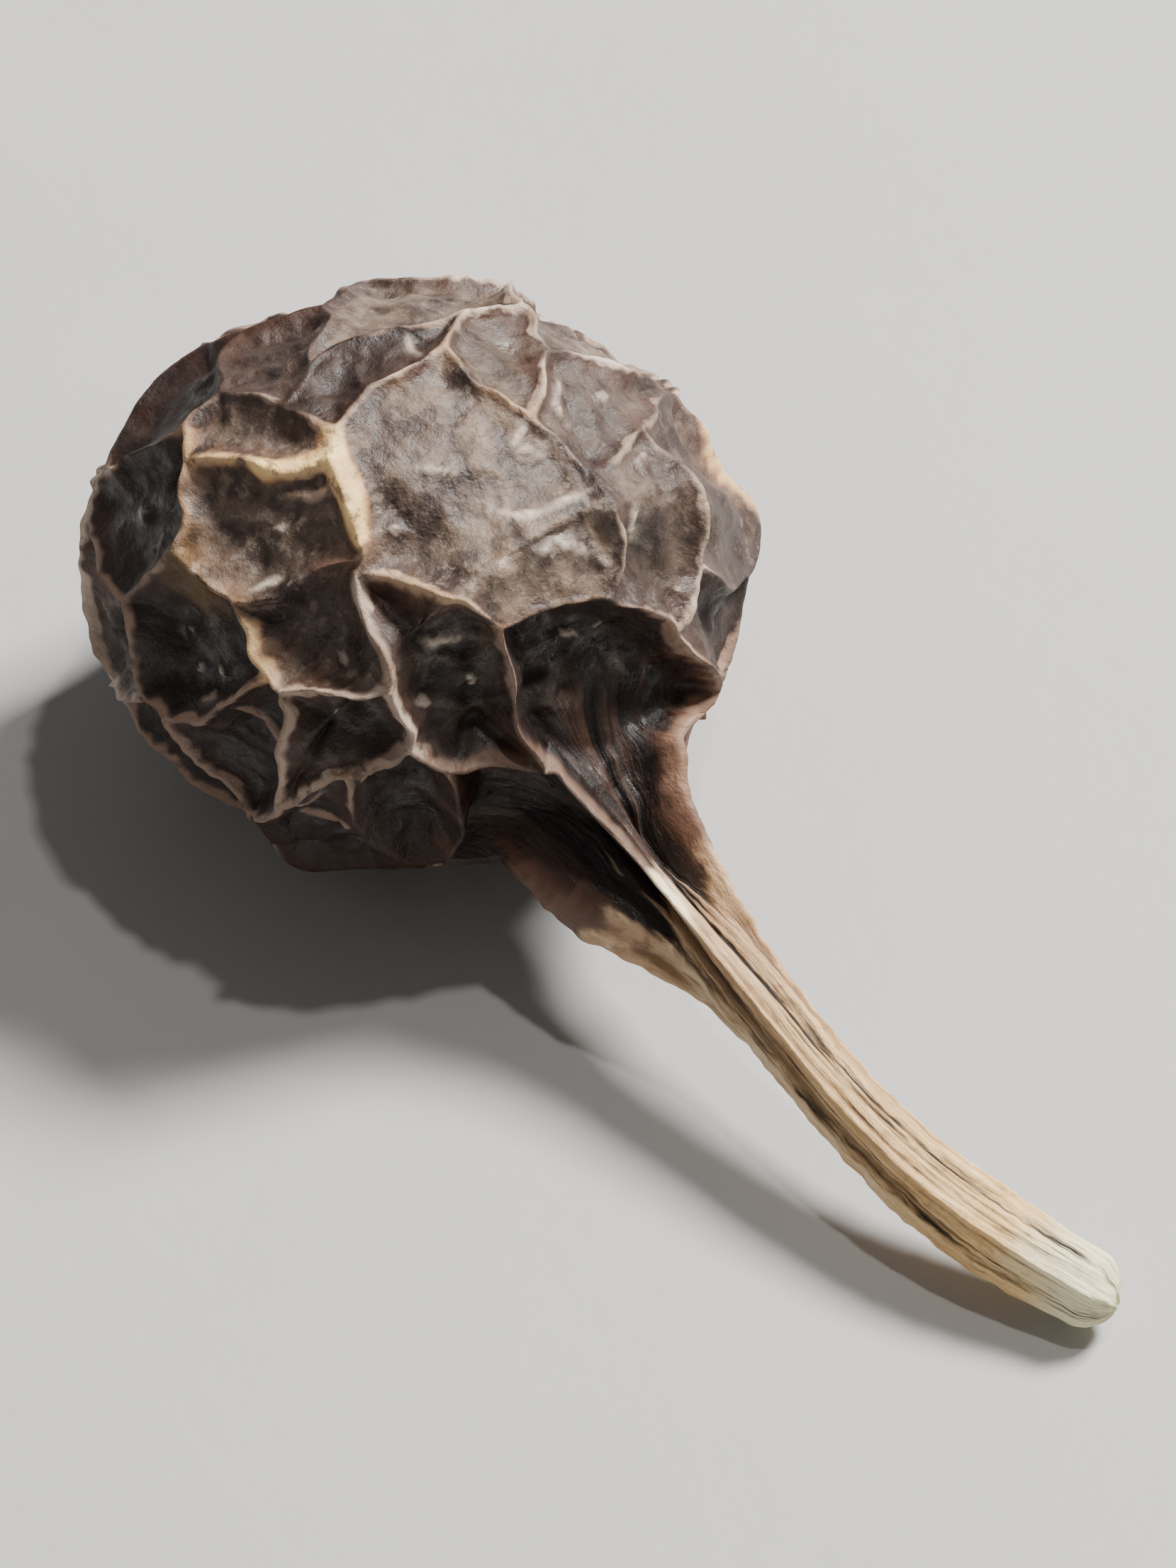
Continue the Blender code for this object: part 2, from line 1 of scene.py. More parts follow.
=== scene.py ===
import itertools
import math
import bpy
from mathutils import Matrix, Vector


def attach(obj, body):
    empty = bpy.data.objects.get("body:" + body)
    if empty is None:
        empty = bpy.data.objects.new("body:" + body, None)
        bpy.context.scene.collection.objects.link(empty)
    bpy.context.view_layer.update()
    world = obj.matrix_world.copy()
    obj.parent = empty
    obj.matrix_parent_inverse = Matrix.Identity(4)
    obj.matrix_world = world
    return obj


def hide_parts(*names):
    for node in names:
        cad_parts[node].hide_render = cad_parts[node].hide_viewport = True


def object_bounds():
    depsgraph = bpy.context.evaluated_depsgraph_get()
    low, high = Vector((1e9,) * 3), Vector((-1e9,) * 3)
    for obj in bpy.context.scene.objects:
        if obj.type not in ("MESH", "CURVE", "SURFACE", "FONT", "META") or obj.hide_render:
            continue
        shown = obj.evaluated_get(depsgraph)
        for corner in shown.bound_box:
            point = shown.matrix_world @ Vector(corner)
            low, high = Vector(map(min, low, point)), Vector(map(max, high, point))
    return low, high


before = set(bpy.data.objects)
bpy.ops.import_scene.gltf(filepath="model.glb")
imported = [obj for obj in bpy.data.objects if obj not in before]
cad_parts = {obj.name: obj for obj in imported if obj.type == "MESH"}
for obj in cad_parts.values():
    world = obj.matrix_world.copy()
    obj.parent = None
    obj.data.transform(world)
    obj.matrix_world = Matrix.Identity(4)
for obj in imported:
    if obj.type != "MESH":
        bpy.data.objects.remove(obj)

from types import SimpleNamespace

import bpy
import numpy as np
from mathutils import Vector
from mathutils.geometry import delaunay_2d_cdt
from mathutils.kdtree import KDTree
from numpy.random import default_rng

CAD_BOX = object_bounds()
MM = 0.001

# Sizes of the berry, as in its solid.
HEAD_RADIUS = 2.56 * MM
HEAD_FLATNESS = 0.065
BERRY_REACH = 8.90 * MM
STALK_RADIUS = 0.325 * MM
STALK_BULGE = 0.050 * MM
BULGE_AT = 7.5 * MM
BULGE_LENGTH = 0.9 * MM
WAIST_DEPTH = 0.03 * MM
WAIST_AT = 5.2 * MM
WAIST_LENGTH = 1.1 * MM
TIP_LENGTH = 0.36 * MM
TIP_SQUARENESS = 2.8
NECK_FLARE = 0.42 * MM
NECK_FADE = 0.90 * MM
STALK_BEND = math.radians(23.0)
BEND_FROM = 5.30 * MM
BEND_TO = 8.50 * MM
REST_RADIUS = 0.78 * MM
LUMP_HEIGHT = 0.045 * MM
NUB_HEIGHT = 0.13 * MM
NUB_WIDTH = 0.10
CREST_SLOPE = 0.36 * MM
NECK_NARROWING = 0.42
FURROW_AT = 163.0
FURROW_WIDTH = 13.0
FURROW_DEPTH = 0.075 * MM
FLAT_SIDE = (0.97, 0.15)
FLAT_SIDE_WIDTH = 0.35
FLAT_SIDE_DEPTH = 0.11 * MM

CENTRE_HEIGHT = (1.0 - 0.4 * HEAD_FLATNESS) * HEAD_RADIUS - REST_RADIUS ** 2 / (2.0 * HEAD_RADIUS)
DROOP = math.asin((CENTRE_HEIGHT - STALK_RADIUS) / (0.97 * BERRY_REACH))
NECK_START = 1.09 * HEAD_RADIUS
RING_AT = 1.24 * HEAD_RADIUS

AXIS = np.array([math.cos(DROOP), 0.0, -math.sin(DROOP)])
SIDE = np.array([0.0, 1.0, 0.0])
OVER = np.array([math.sin(DROOP), 0.0, math.cos(DROOP)])
CENTRE = np.array([0.0, 0.0, CENTRE_HEIGHT])

# Where the berry is seen from: degrees round it and above the level.
QUARTER = math.radians(52.5)
HEIGHT = math.radians(50.0)
TO_RIGHT = np.array([math.cos(QUARTER), math.sin(QUARTER), 0.0])
TO_TOP = np.array([-math.sin(QUARTER) * math.sin(HEIGHT), math.cos(QUARTER) * math.sin(HEIGHT),
                   math.cos(HEIGHT)])
TO_FRONT = np.array([math.sin(QUARTER) * math.cos(HEIGHT), -math.cos(QUARTER) * math.cos(HEIGHT),
                     math.sin(HEIGHT)])

# Plates of the front quarter: right and up in head radii, depth in millimetres.
FRONT_PLATES = [
    (0.06, 0.27, 0.07), (0.50, 0.08, 0.07), (-0.17, 0.66, 0.09), (0.33, 0.68, 0.09),
    (0.65, 0.50, 0.08), (0.78, 0.15, 0.12), (0.12, -0.42, 0.32), (-0.38, 0.08, 0.20),
    (-0.32, -0.24, 0.24), (-0.20, -0.57, 0.30), (-0.41, 0.38, 0.12), (-0.48, 0.63, 0.14),
    (0.05, 0.96, 0.16), (-0.84, 0.12, 0.22), (-0.72, -0.28, 0.30), (-0.53, -0.62, 0.30),
    (0.96, 0.16, 0.15), (0.93, -0.25, 0.20), (0.08, -0.86, 0.30), (-0.22, -0.88, 0.28),
    (-0.76, 0.50, 0.18),
]
# How dark each plate is, 0 to 1: those of the front quarter, then the hollows at the neck.
# The plates of the left and bottom are set darkest, partly as painted shade.
SHADES = [0.10, 0.20, 1.00, 0.50, 0.60, 0.50, 0.65, 0.00, 0.25, 0.80, 0.50, 0.80, 0.40, 0.95,
          1.00, 1.00, 0.50, 0.80, 0.95, 1.00, 0.90, 0.95, 0.90, 0.90, 0.90, 0.75]

# These two are one plate, with no crest between them.
ONE_PLATE = {0, 1}

# Corners of the net: right and up in head radii, then the plates that meet there.
FRONT_CORNERS = [
    (-0.214, 0.404, {0, 2, 10}), (0.136, 0.687, {0, 2, 3}), (0.194, 0.817, {2, 3, 12}),
    (0.290, 0.530, {0, 1, 3}), (0.427, 0.448, {1, 3, 4}), (-0.215, 0.300, {0, 7, 10}),
    (-0.130, -0.010, {0, 7, 8}), (-0.165, -0.070, {0, 6, 8}), (0.117, -0.160, {0, 1, 6}),
    (0.330, -0.248, {1, 6, 21}), (0.621, -0.165, {1, 5, 21}), (0.830, -0.250, {5, 17, 21}),
    (0.880, -0.070, {5, 16, 17}), (0.880, -0.420, {17, 21, 25}), (0.621, 0.252, {1, 4, 5}),
    (0.757, 0.383, {4, 5, 16}), (0.466, 0.687, {3, 4, 34}), (0.370, 0.840, {3, 12, 34}),
    (-0.330, 0.622, {2, 11, 12}), (-0.388, 0.491, {2, 10, 11}), (-0.620, 0.510, {10, 11, 20}),
    (-0.680, 0.400, {10, 13, 20}), (-0.660, 0.280, {7, 10, 13}), (-0.699, 0.013, {7, 13, 14}),
    (-0.524, -0.161, {7, 8, 14}), (-0.420, -0.395, {8, 14, 15}), (-0.365, -0.435, {8, 9, 15}),
    (-0.019, -0.422, {6, 8, 9}), (0.039, -0.639, {6, 9, 18}), (0.180, -0.690, {6, 18, 22}),
    (0.430, -0.680, {6, 21, 22}), (-0.350, -0.748, {9, 15, 19}), (-0.155, -0.683, {9, 18, 19}),
]

# Angles round the axis of the neck's strands, and of its hollows with their depths.
STRANDS = [45.0, 125.0, 205.0, 275.0, 345.0]
HOLLOWS = [(75.0, 0.42), (175.0, 0.40), (235.0, 0.34), (315.0, 0.36), (15.0, 0.12)]
HOLLOW_FROM_POLE = math.radians(23.0)

# Swellings of the neck, where the head runs on into its strands: height, angle round the
# axis and width in degrees, then reach and length in millimetres.
BUTTRESSES = [
    (0.25 * MM, 27.0, 26.0, 2.60, 0.46),
    (0.32 * MM, 205.0, 30.0, 3.40, 0.90),
    (0.13 * MM, 114.0, 15.0, 2.98, 0.42),
]

# Where the bark is rubbed pale, and where it is painted pale as light: strength, then the same.
BARE_AND_LIT_PATCHES = [
    # Rubbed bark where the stalk begins, partly a painted highlight.
    (1.00, 121.0, 11.0, 3.86, 0.32),
    (0.75, 180.0, 6.0, 3.32, 0.20),
    # Painted light: the left side of the stalk made paler, not rubbed.
    (0.60, 194.0, 13.0, 5.70, 1.50),
]

HIDDEN_PLATES = 24
HIDDEN_SEED = 11
SHALLOWEST = 0.12 * MM
DEEPEST = 0.32 * MM

# Lines on the front of the head. Their points lie right and up in head radii; strength or
# depth, and reach in head radii, come first where they are given.
# Thick golden crests.
PALE_LINES = [
    (1.0, 0.085, [(-0.45, 0.26), (-0.24, 0.33), (-0.15, 0.17), (-0.13, 0.06)]),
    (0.65, 0.10, [(-0.66, 0.34), (-0.56, 0.30), (-0.45, 0.26)]),
    (0.55, 0.07, [(-0.66, 0.27), (-0.67, 0.14), (-0.64, 0.03)]),
    (0.50, 0.08, [(-0.64, 0.03), (-0.52, -0.14), (-0.42, -0.38), (-0.31, -0.34)]),
    (0.35, 0.06, [(-0.22, 0.34), (0.13, 0.68), (0.29, 0.53), (0.42, 0.45)]),
    (0.35, 0.06, [(-0.13, -0.04), (0.12, -0.16), (0.33, -0.25), (0.62, -0.16)]),
]

# Thick crests of the usual colour.
BOLD_LINES = [
    (0.90, 0.09, [(0.04, -0.64), (0.18, -0.69), (0.43, -0.68), (0.52, -0.76), (0.60, -0.80)]),
    (0.50, 0.07, [(-0.14, -0.12), (-0.02, -0.42), (0.04, -0.64)]),
]

# Fine pale lines inside the plates.
FINE_LINES = [
    [(0.03, 0.29), (0.10, 0.27), (0.18, 0.26)],
    [(0.24, 0.16), (0.35, 0.13), (0.50, 0.18), (0.59, 0.20)],
    [(0.65, 0.25), (0.70, 0.33), (0.78, 0.36)],
    [(0.70, 0.16), (0.71, 0.03), (0.80, -0.03)],
    [(0.42, 0.45), (0.36, 0.36), (0.47, 0.33)],
    [(0.40, -0.06), (0.48, 0.00), (0.60, -0.05)],
    [(-0.51, -0.14), (-0.44, -0.10), (-0.38, -0.09)],
    [(0.05, -0.30), (0.14, -0.36), (0.26, -0.33)],
    [(0.12, 0.62), (0.02, 0.70), (-0.02, 0.82)],
    [(0.52, 0.62), (0.50, 0.50), (0.56, 0.42)],
]

# Small crests besides those between the plates.
EXTRA_CRESTS = [
    [(-0.72, -0.49), (-0.63, -0.47), (-0.56, -0.51), (-0.41, -0.70), (-0.33, -0.84)],
    [(-0.38, -0.74), (-0.27, -0.80), (-0.22, -0.77)],
    [(-0.33, -0.86), (-0.20, -0.90), (-0.10, -0.86)],
    [(-0.05, -0.70), (-0.16, -0.75)],
    [(-0.42, 0.185), (-0.31, 0.180), (-0.20, 0.215)],
]

# Dents in the plates.
DENTS = [
    (0.080 * MM, 0.075, [(0.46, 0.03), (0.62, 0.05), (0.80, -0.07)]),
    (0.050 * MM, 0.055, [(0.28, 0.00), (0.42, -0.09)]),
    (0.040 * MM, 0.050, [(-0.09, 0.16), (0.00, 0.10), (0.02, 0.02)]),
    (0.040 * MM, 0.060, [(0.44, 0.62), (0.36, 0.72)]),
]

# Short glossy wrinkles in the hollows; their pale colour is partly a painted highlight.
FLECKS = [
    [(0.235, -0.41), (0.270, -0.51)], [(0.570, -0.32), (0.650, -0.33)], [(0.060, -0.50), (0.130, -0.54)],
    [(0.740, -0.38), (0.780, -0.43)], [(0.590, -0.03), (0.680, -0.13)], [(0.830, -0.12), (0.870, -0.18)],
    [(0.700, 0.27), (0.780, 0.35)], [(-0.650, -0.38), (-0.620, -0.42)], [(-0.430, 0.09), (-0.400, 0.07)],
    [(-0.230, -0.52), (-0.180, -0.50)],
]

# An ochre stain between crests.
STAINS = [(1.0, 0.09, [(-0.70, -0.04), (-0.68, -0.14)])]

# Crests that hardly stand out, with how much they lose.
FAINT_LINES = [
    (0.8, 0.06, [(-0.50, -0.14), (-0.30, -0.08), (-0.15, -0.03)]),
    (0.8, 0.06, [(0.621, 0.252), (0.560, 0.05), (0.621, -0.165)]),
    (0.8, 0.06, [(-0.38, 0.49), (-0.30, 0.60)]),
]

# Relief that only the skin shows.
CREST_HEIGHT = 0.055 * MM
CREST_WIDTH = 0.050 * MM
EXTRA_HEIGHT = 0.075 * MM
LINE_WIDTH = 0.034 * MM
LINE_HEIGHT = 0.026 * MM
FLECK_WIDTH = 0.040 * MM
FLECK_HEIGHT = 0.048 * MM
SHALLOW_RIPPLE = 0.006 * MM
DEEP_RIPPLE = 0.025 * MM
DEEP_PLATE = 0.30 * MM
CREST_ROUNDING = 0.008 * MM
BANK_HEIGHT = 0.030 * MM
BANK_WIDTH = 0.16 * MM
FOLD_HEIGHT = 0.040 * MM
SWAY_SIZE = 0.042 * MM
SWAY_PACE = 9.5

# Random fields: number of waves, their pace and a seed. The first two go by head radii,
# the others by millimetres.
LUMPS = (7, 3.2, 21)
HIDDEN_GOLD = (9, 6.0, 44)
BROAD = (26, 8.0, 33)
MIDDLE = (36, 19.0, 34)
SMALL = (48, 46.0, 35)
VIGOUR = (10, 2.0, 41)
WRINKLED = (10, 2.4, 36)
CRAZED = (12, 4.0, 37)
GLINTS = (30, 17.0, 45)
KNOTS = (20, 4.0, 51)

# Nets of wrinkles: number of cells, seed, width of a line and wander in millimetres.
WRINKLE_NET = (230, 71, 0.16, 0.22)
CRAZE_NET = (1100, 72, 0.10, 0.12)

# Fibres of the bark: how many stand round the stalk, and their share of the relief.
FIBRES = [(7.0, 0.35), (11.0, 0.45), (17.0, 0.40), (26.0, 0.30), (37.0, 0.22)]
FOLD_SHARES = np.array([0.5, 0.5, 0.3])

# Spacing of the skin's points before they are split twice.
CREST_STEP = 0.105 * MM
ROW_OFFSET = 0.095 * MM
FILL_STEP = 0.160 * MM
COLUMNS = 36
FIRST_COLUMN = math.radians(5.0)
STALK_STEP = 0.036 * MM
SPLITS = 2

# Random filling between the crests, and the seeds of crests, filling and tones.
HEAD_TRIES = 36000
NECK_TRIES = 12000
CREST_SEED = 5
FILL_SEED = 3
TONE_SEED = 8

# Linear colours of plates, crests, neck and bark, and heights of bumps.
PLATE_BROWN = (0.038, 0.022, 0.018)
PLATE_GREY = (0.076, 0.053, 0.044)
PLATE_DARK = (0.021, 0.0105, 0.0088)
PLATE_DARKEST = (0.014, 0.007, 0.006)
DUST = (0.105, 0.082, 0.068)
SPECKS = (0.33, 0.27, 0.22)
PITS = (0.018, 0.010, 0.008)
HOLLOW_SHADE = (0.0085, 0.0034, 0.0026)
RUST = (0.085, 0.032, 0.018)
STAIN = (0.25, 0.140, 0.045)
VEINS = (0.32, 0.225, 0.160)
FINE_LINE = (0.62, 0.52, 0.42)
FLECK_AND_GLINT = (0.58, 0.48, 0.40)
CREST_BROWN = (0.27, 0.180, 0.135)
CREST_PALE = (0.60, 0.475, 0.375)
CREST_DARK = (0.22, 0.130, 0.090)
CREST_PITS = (0.24, 0.135, 0.075)
GOLD = (1.0, 0.69, 0.31)
GOLD_SIDE = (0.42, 0.225, 0.105)
GOLD_PATCH = (0.60, 0.33, 0.15)
GOLD_FOOT = (0.34, 0.185, 0.095)
NECK_DARK = (0.018, 0.007, 0.005)
NECK_RUST = (0.140, 0.066, 0.040)
NECK_HOLLOW_SHADE = (0.0065, 0.0028, 0.0022)
STRAND = (0.24, 0.135, 0.086)
STRAND_BOLD = (0.150, 0.098, 0.076)
BARK_FRESH = (0.50, 0.315, 0.20)
BARK_END = (1.0, 0.655, 0.275)
BARK_SHADE = (0.115, 0.052, 0.028)
SHADE_END = (0.78, 0.46, 0.185)
BARK_HAIRS = (0.94, 0.72, 0.46)
BARK_SPECKS = (0.17, 0.085, 0.042)
FURROW_SHADE = (0.100, 0.056, 0.038)
BARK_RUBBED_AND_LIT = (1.0, 0.84, 0.58)
TIP = (1.0, 0.93, 0.60)
GRIT_BUMP = 0.04 * MM
PEBBLE_BUMP = 0.01 * MM

FLOOR_GREY = (0.440, 0.442, 0.445)
FLOOR_PALE = (0.490, 0.492, 0.495)
FLOOR_BUMP = 0.05 * MM
FLOOR_HALF = 0.5
FLOOR_GAP = 0.02 * MM

# Lamps: name, way right, up and forward of the lit point as seen, size, power, colour.
LAMPS = [
    ("key", 0.062, 0.096, 0.046, 0.032, 0.448, (1.0, 0.97, 0.92)),
    ("spark", 0.020, 0.080, 0.080, 0.005, 0.034, (1.0, 0.97, 0.93)),
    ("fill", -0.110, 0.020, 0.070, 0.100, 0.005, (0.96, 0.98, 1.0)),
]
LIT_POINT = (2.5 * MM, 0.0, 1.5 * MM)
ROOM_COLOUR = (1.0, 0.97, 0.94)
ROOM_STRENGTH = 0.17
CAMERA_LENS = 180.0
CAMERA_AWAY = 66.0 * MM
AIM_RIGHT = 1.50 * MM
AIM_DOWN = 1.90 * MM


def size_of(vectors):
    return np.linalg.norm(vectors, axis=-1)


def unit(vectors):
    return vectors / size_of(vectors)[..., None]


def ease(low, high, value):
    share = np.clip((value - low) / (high - low), 0.0, 1.0)
    return share * share * (3.0 - 2.0 * share)


def waves(points, count, pace, seed):
    """Smooth random field with mean 0 and size about 1."""
    random = default_rng(seed)
    field = np.zeros(len(points))
    for _ in range(count):
        along = pace * unit(random.normal(size=3))
        field += np.sin(points @ along + random.uniform(0.0, math.tau))
    return field * math.sqrt(2.0 / count)


def from_front(right, up):
    """Direction to a place given right and up in head radii, as seen."""
    shrink = min(1.0, 0.985 / max(math.hypot(right, up), 1e-9))
    right, up = right * shrink, up * shrink
    front = math.sqrt(1.0 - right * right - up * up)
    world = right * TO_RIGHT + up * TO_TOP + front * TO_FRONT
    return np.array([world @ AXIS, world @ SIDE, world @ OVER])


def round_axis(from_pole, angle):
    return np.array([math.cos(from_pole), math.sin(from_pole) * math.cos(angle),
                     math.sin(from_pole) * math.sin(angle)])


def stalk_radius(reach):
    flare = NECK_FLARE * np.exp(-(reach - NECK_START) / NECK_FADE)
    bulge = STALK_BULGE * np.exp(-((reach - BULGE_AT) / BULGE_LENGTH) ** 2)
    waist = WAIST_DEPTH * np.exp(-((reach - WAIST_AT) / WAIST_LENGTH) ** 2)
    from_tip = np.clip((BERRY_REACH - reach) / TIP_LENGTH, 0.0, 1.0)
    cap = np.sqrt(1.0 - (1.0 - from_tip) ** TIP_SQUARENESS)
    return (STALK_RADIUS + flare + bulge - waist) * cap * ease(0.2, 0.65, reach / HEAD_RADIUS)


def base_profile():
    """Turned shape of head, neck and stalk, with its outward direction."""
    angles = np.linspace(0.002, math.pi - 0.002, 5000)
    end = np.sin(np.linspace(0.0, 0.5 * math.pi, 400))
    reach = np.concatenate([
        -HEAD_RADIUS * np.cos(angles),
        np.linspace(HEAD_RADIUS, BERRY_REACH - TIP_LENGTH, 4000)[1:],
        BERRY_REACH - TIP_LENGTH * (1.0 - end[1:]),
    ])
    head = np.maximum(HEAD_RADIUS ** 2 - reach ** 2, 0.0)
    radius = (head ** 2 + stalk_radius(reach) ** 4) ** 0.25
    slope_x = np.gradient(reach)
    slope_r = np.gradient(radius)
    length = np.hypot(slope_x, slope_r)
    steps = np.hypot(np.diff(reach), np.diff(radius))
    growth = steps / (0.5 * (radius[1:] + radius[:-1]) + 1e-9)
    spread = math.log(math.tan(0.5 * angles[0])) + np.concatenate([[0.0], np.cumsum(growth)])
    return {"reach": reach, "radius": radius, "spread": spread,
            "out_x": -slope_r / length, "out_r": slope_x / length}


PROFILE = base_profile()


def spine_table():
    """Heading and place of the bent axis at each reach."""
    reach = np.linspace(0.0, BERRY_REACH, 2000)
    heading = STALK_BEND * ease(BEND_FROM, BEND_TO, reach)
    step = reach[1] - reach[0]
    along = np.concatenate([[0.0], np.cumsum(np.cos(heading[:-1]) * step)])
    aside = np.concatenate([[0.0], np.cumsum(np.sin(heading[:-1]) * step)])
    return reach, heading, along, aside


SPINE = spine_table()


def to_plane(rays):
    """Rays from the head's centre laid out flat: the head's girth is the unit circle."""
    return rays[..., 1:] / (1.0 - rays[..., :1])


def to_rays(plane):
    size = np.sum(plane * plane, axis=-1, keepdims=True)
    return np.concatenate([(size - 1.0) / (size + 1.0), 2.0 * plane / (size + 1.0)], axis=-1)


def on_profile(plane, name):
    spread = np.log(np.maximum(size_of(plane), 1e-9))
    return np.interp(spread, PROFILE["spread"], PROFILE[name])


def plane_at(reach, angles):
    spread = np.interp(reach, PROFILE["reach"], PROFILE["spread"])
    return math.exp(spread) * np.stack([np.cos(angles), np.sin(angles)], axis=-1)


def place(reach, radius, angle):
    """Points in space from reach along the axis, radius and angle round it."""
    heading, along, aside = (np.interp(reach, SPINE[0], values) for values in SPINE[1:])
    across = radius * np.cos(angle)
    above = radius * np.sin(angle)
    axial = along + np.minimum(reach, 0.0) - np.sin(heading) * across
    sideways = aside + np.cos(heading) * across
    return (CENTRE + axial[..., None] * AXIS + sideways[..., None] * SIDE
            + above[..., None] * OVER)


def base_points(plane):
    angle = np.arctan2(plane[..., 1], plane[..., 0])
    return place(on_profile(plane, "reach"), on_profile(plane, "radius"), angle)


def plate_centres():
    """Seen plates, hollows at the neck, the neck's pole, then hidden plates."""
    centres = [from_front(right, up) for right, up, _ in FRONT_PLATES]
    depths = [depth * MM for _, _, depth in FRONT_PLATES]
    for angle, depth in HOLLOWS:
        centres.append(round_axis(HOLLOW_FROM_POLE, math.radians(angle)))
        depths.append(depth * MM)
    centres.append(round_axis(0.0, 0.0))
    depths.append(0.0)
    random = default_rng(HIDDEN_SEED)
    for _ in range(HIDDEN_PLATES):
        tries = unit(random.normal(size=(400, 3)))
        nearest = (tries @ np.array(centres).T).max(axis=1)
        centres.append(tries[np.argmin(nearest)])
        depths.append(random.uniform(SHALLOWEST, DEEPEST))
    return np.array(centres), np.array(depths)


def plate_corners(centres):
    """Places where three plates meet, and which three."""
    triples = np.array(list(itertools.combinations(range(len(centres)), 3)))
    first, second, third = (centres[triples[:, n]] for n in range(3))
    normals = unit(np.cross(second - first, third - first))
    level = np.sum(normals * first, axis=1)
    normals *= np.sign(level)[:, None]
    highest = (normals @ centres.T).max(axis=1)
    keep = highest < np.abs(level) + 1e-9
    return normals[keep], triples[keep]


def crest_paths(centres):
    """Ends of every crest, also of those that run into the neck's strands."""
    corners, owners = plate_corners(centres)
    seen = {frozenset(names): from_front(right, up) for right, up, names in FRONT_CORNERS}
    pole = len(FRONT_PLATES) + len(HOLLOWS)
    owners = [frozenset(plates) for plates in owners.tolist()]
    at_pole = [pole in plates for plates in owners]
    moved = np.array([corner if pole in plates else seen.get(plates, corner)
                      for corner, plates in zip(corners, owners)])
    paths = []
    for a, b in itertools.combinations(range(len(corners)), 2):
        shared = owners[a] & owners[b]
        if len(shared) == 2 and pole not in shared and shared != ONE_PLATE:
            paths.append((moved[a], moved[b]))
    ends = to_rays(plane_at(RING_AT, np.radians(STRANDS)))
    for corner in moved[at_pole]:
        paths.append((corner, ends[np.argmax(ends @ corner)]))
    return paths


def crest_line(start, end, random):
    """Points at even steps along a bowed crest."""
    share = np.linspace(0.0, 1.0, 60)[:, None]
    line = unit(start * (1.0 - share) + end * share)
    sway = unit(np.cross(start, end))
    size = 0.08 * np.linalg.norm(end - start) * (1.0 - ease(0.90, 0.97, line[:, :1]))
    swing = random.uniform(-1.0, 1.0, size=2)
    bow = swing[0] * np.sin(math.pi * share) + 0.5 * swing[1] * np.sin(math.tau * share)
    line = unit(line + sway * size * bow)
    points = base_points(to_plane(line))
    length = np.concatenate([[0.0], np.cumsum(size_of(np.diff(points, axis=0)))])
    count = max(2, int(round(length[-1] / CREST_STEP)))
    stops = np.linspace(0.0, length[-1], count + 1)
    return unit(np.stack([np.interp(stops, length, line[:, n]) for n in range(3)], axis=1))


def crest_net(centres):
    """Points of all the crests and the links between them."""
    random = default_rng(CREST_SEED)
    points = {}
    links = []
    for start, end in crest_paths(centres):
        line = to_plane(crest_line(start, end, random))
        keys = [tuple(np.round(point, 5)) for point in line]
        for key, point in zip(keys, line):
            points.setdefault(key, point)
        links += [(a, b) for a, b in zip(keys, keys[1:]) if a != b]
    number = {key: n for n, key in enumerate(points)}
    return np.array(list(points.values())), [(number[a], number[b]) for a, b in links]


def fill_up(plane, tries, gaps):
    """Adds those tries that keep their gap from every point there is."""
    space = np.concatenate([base_points(plane), np.zeros((len(tries), 3))])
    count = len(plane)
    kept = []
    for point, spot, gap in zip(tries, base_points(tries), gaps):
        apart = space[:count] - spot
        if np.einsum("ij,ij->i", apart, apart).min() >= gap * gap:
            kept.append(point)
            space[count] = spot
            count += 1
    return np.concatenate([plane, kept])


def beside_crests(points, links):
    """A row of points along each side of the crests."""
    ends = base_points(points)
    rows = []
    for a, b in links:
        middle = 0.5 * (points[a] + points[b])
        along = points[b] - points[a]
        real = np.linalg.norm(ends[b] - ends[a])
        across = np.array([-along[1], along[0]]) / real * ROW_OFFSET
        rows.append(middle + across)
        rows.append(middle - across)
    return np.array(rows)


def skin_points():
    """Crests, the neck's ring, rows beside crests, then filling."""
    centres, depths = plate_centres()
    crests, links = crest_net(centres)
    columns = FIRST_COLUMN + np.arange(COLUMNS) * math.tau / COLUMNS
    ring = plane_at(RING_AT, columns)
    limit = np.linalg.norm(ring[0])
    ring = [point for point in ring if size_of(crests - point).min() > 1e-3 * limit]
    rows = beside_crests(crests, links)
    rows = rows[size_of(rows) < 0.97 * limit]
    plane = fill_up(np.concatenate([crests, ring]), rows, np.full(len(rows), 0.78 * ROW_OFFSET))
    random = default_rng(FILL_SEED)
    tries = to_plane(unit(random.normal(size=(HEAD_TRIES, 3))))
    near = random.uniform(1.0, math.log(limit), size=NECK_TRIES)
    turn = random.uniform(0.0, math.tau, size=NECK_TRIES)
    necks = np.exp(near)[:, None] * np.stack([np.cos(turn), np.sin(turn)], axis=1)
    tries = np.concatenate([tries, necks])
    tries = tries[size_of(tries) < 0.965 * limit]
    gaps = np.clip(0.05 * MM + 0.12 * on_profile(tries, "radius"), 0.10 * MM, FILL_STEP)
    return fill_up(plane, tries, gaps), links, centres, depths, limit


def triangulate(plane, links):
    result = delaunay_2d_cdt([Vector(point) for point in plane], links, [], 0, 1e-7, True)
    coordinates, edges, faces, sources, edge_sources, _ = result
    points = np.array([plane[source[0]] if source else np.array(point)
                       for point, source in zip(coordinates, sources)])
    crests = np.array(sorted(tuple(sorted(edge)) for edge, source in zip(edges, edge_sources)
                             if source))
    return points, np.array(faces), crests


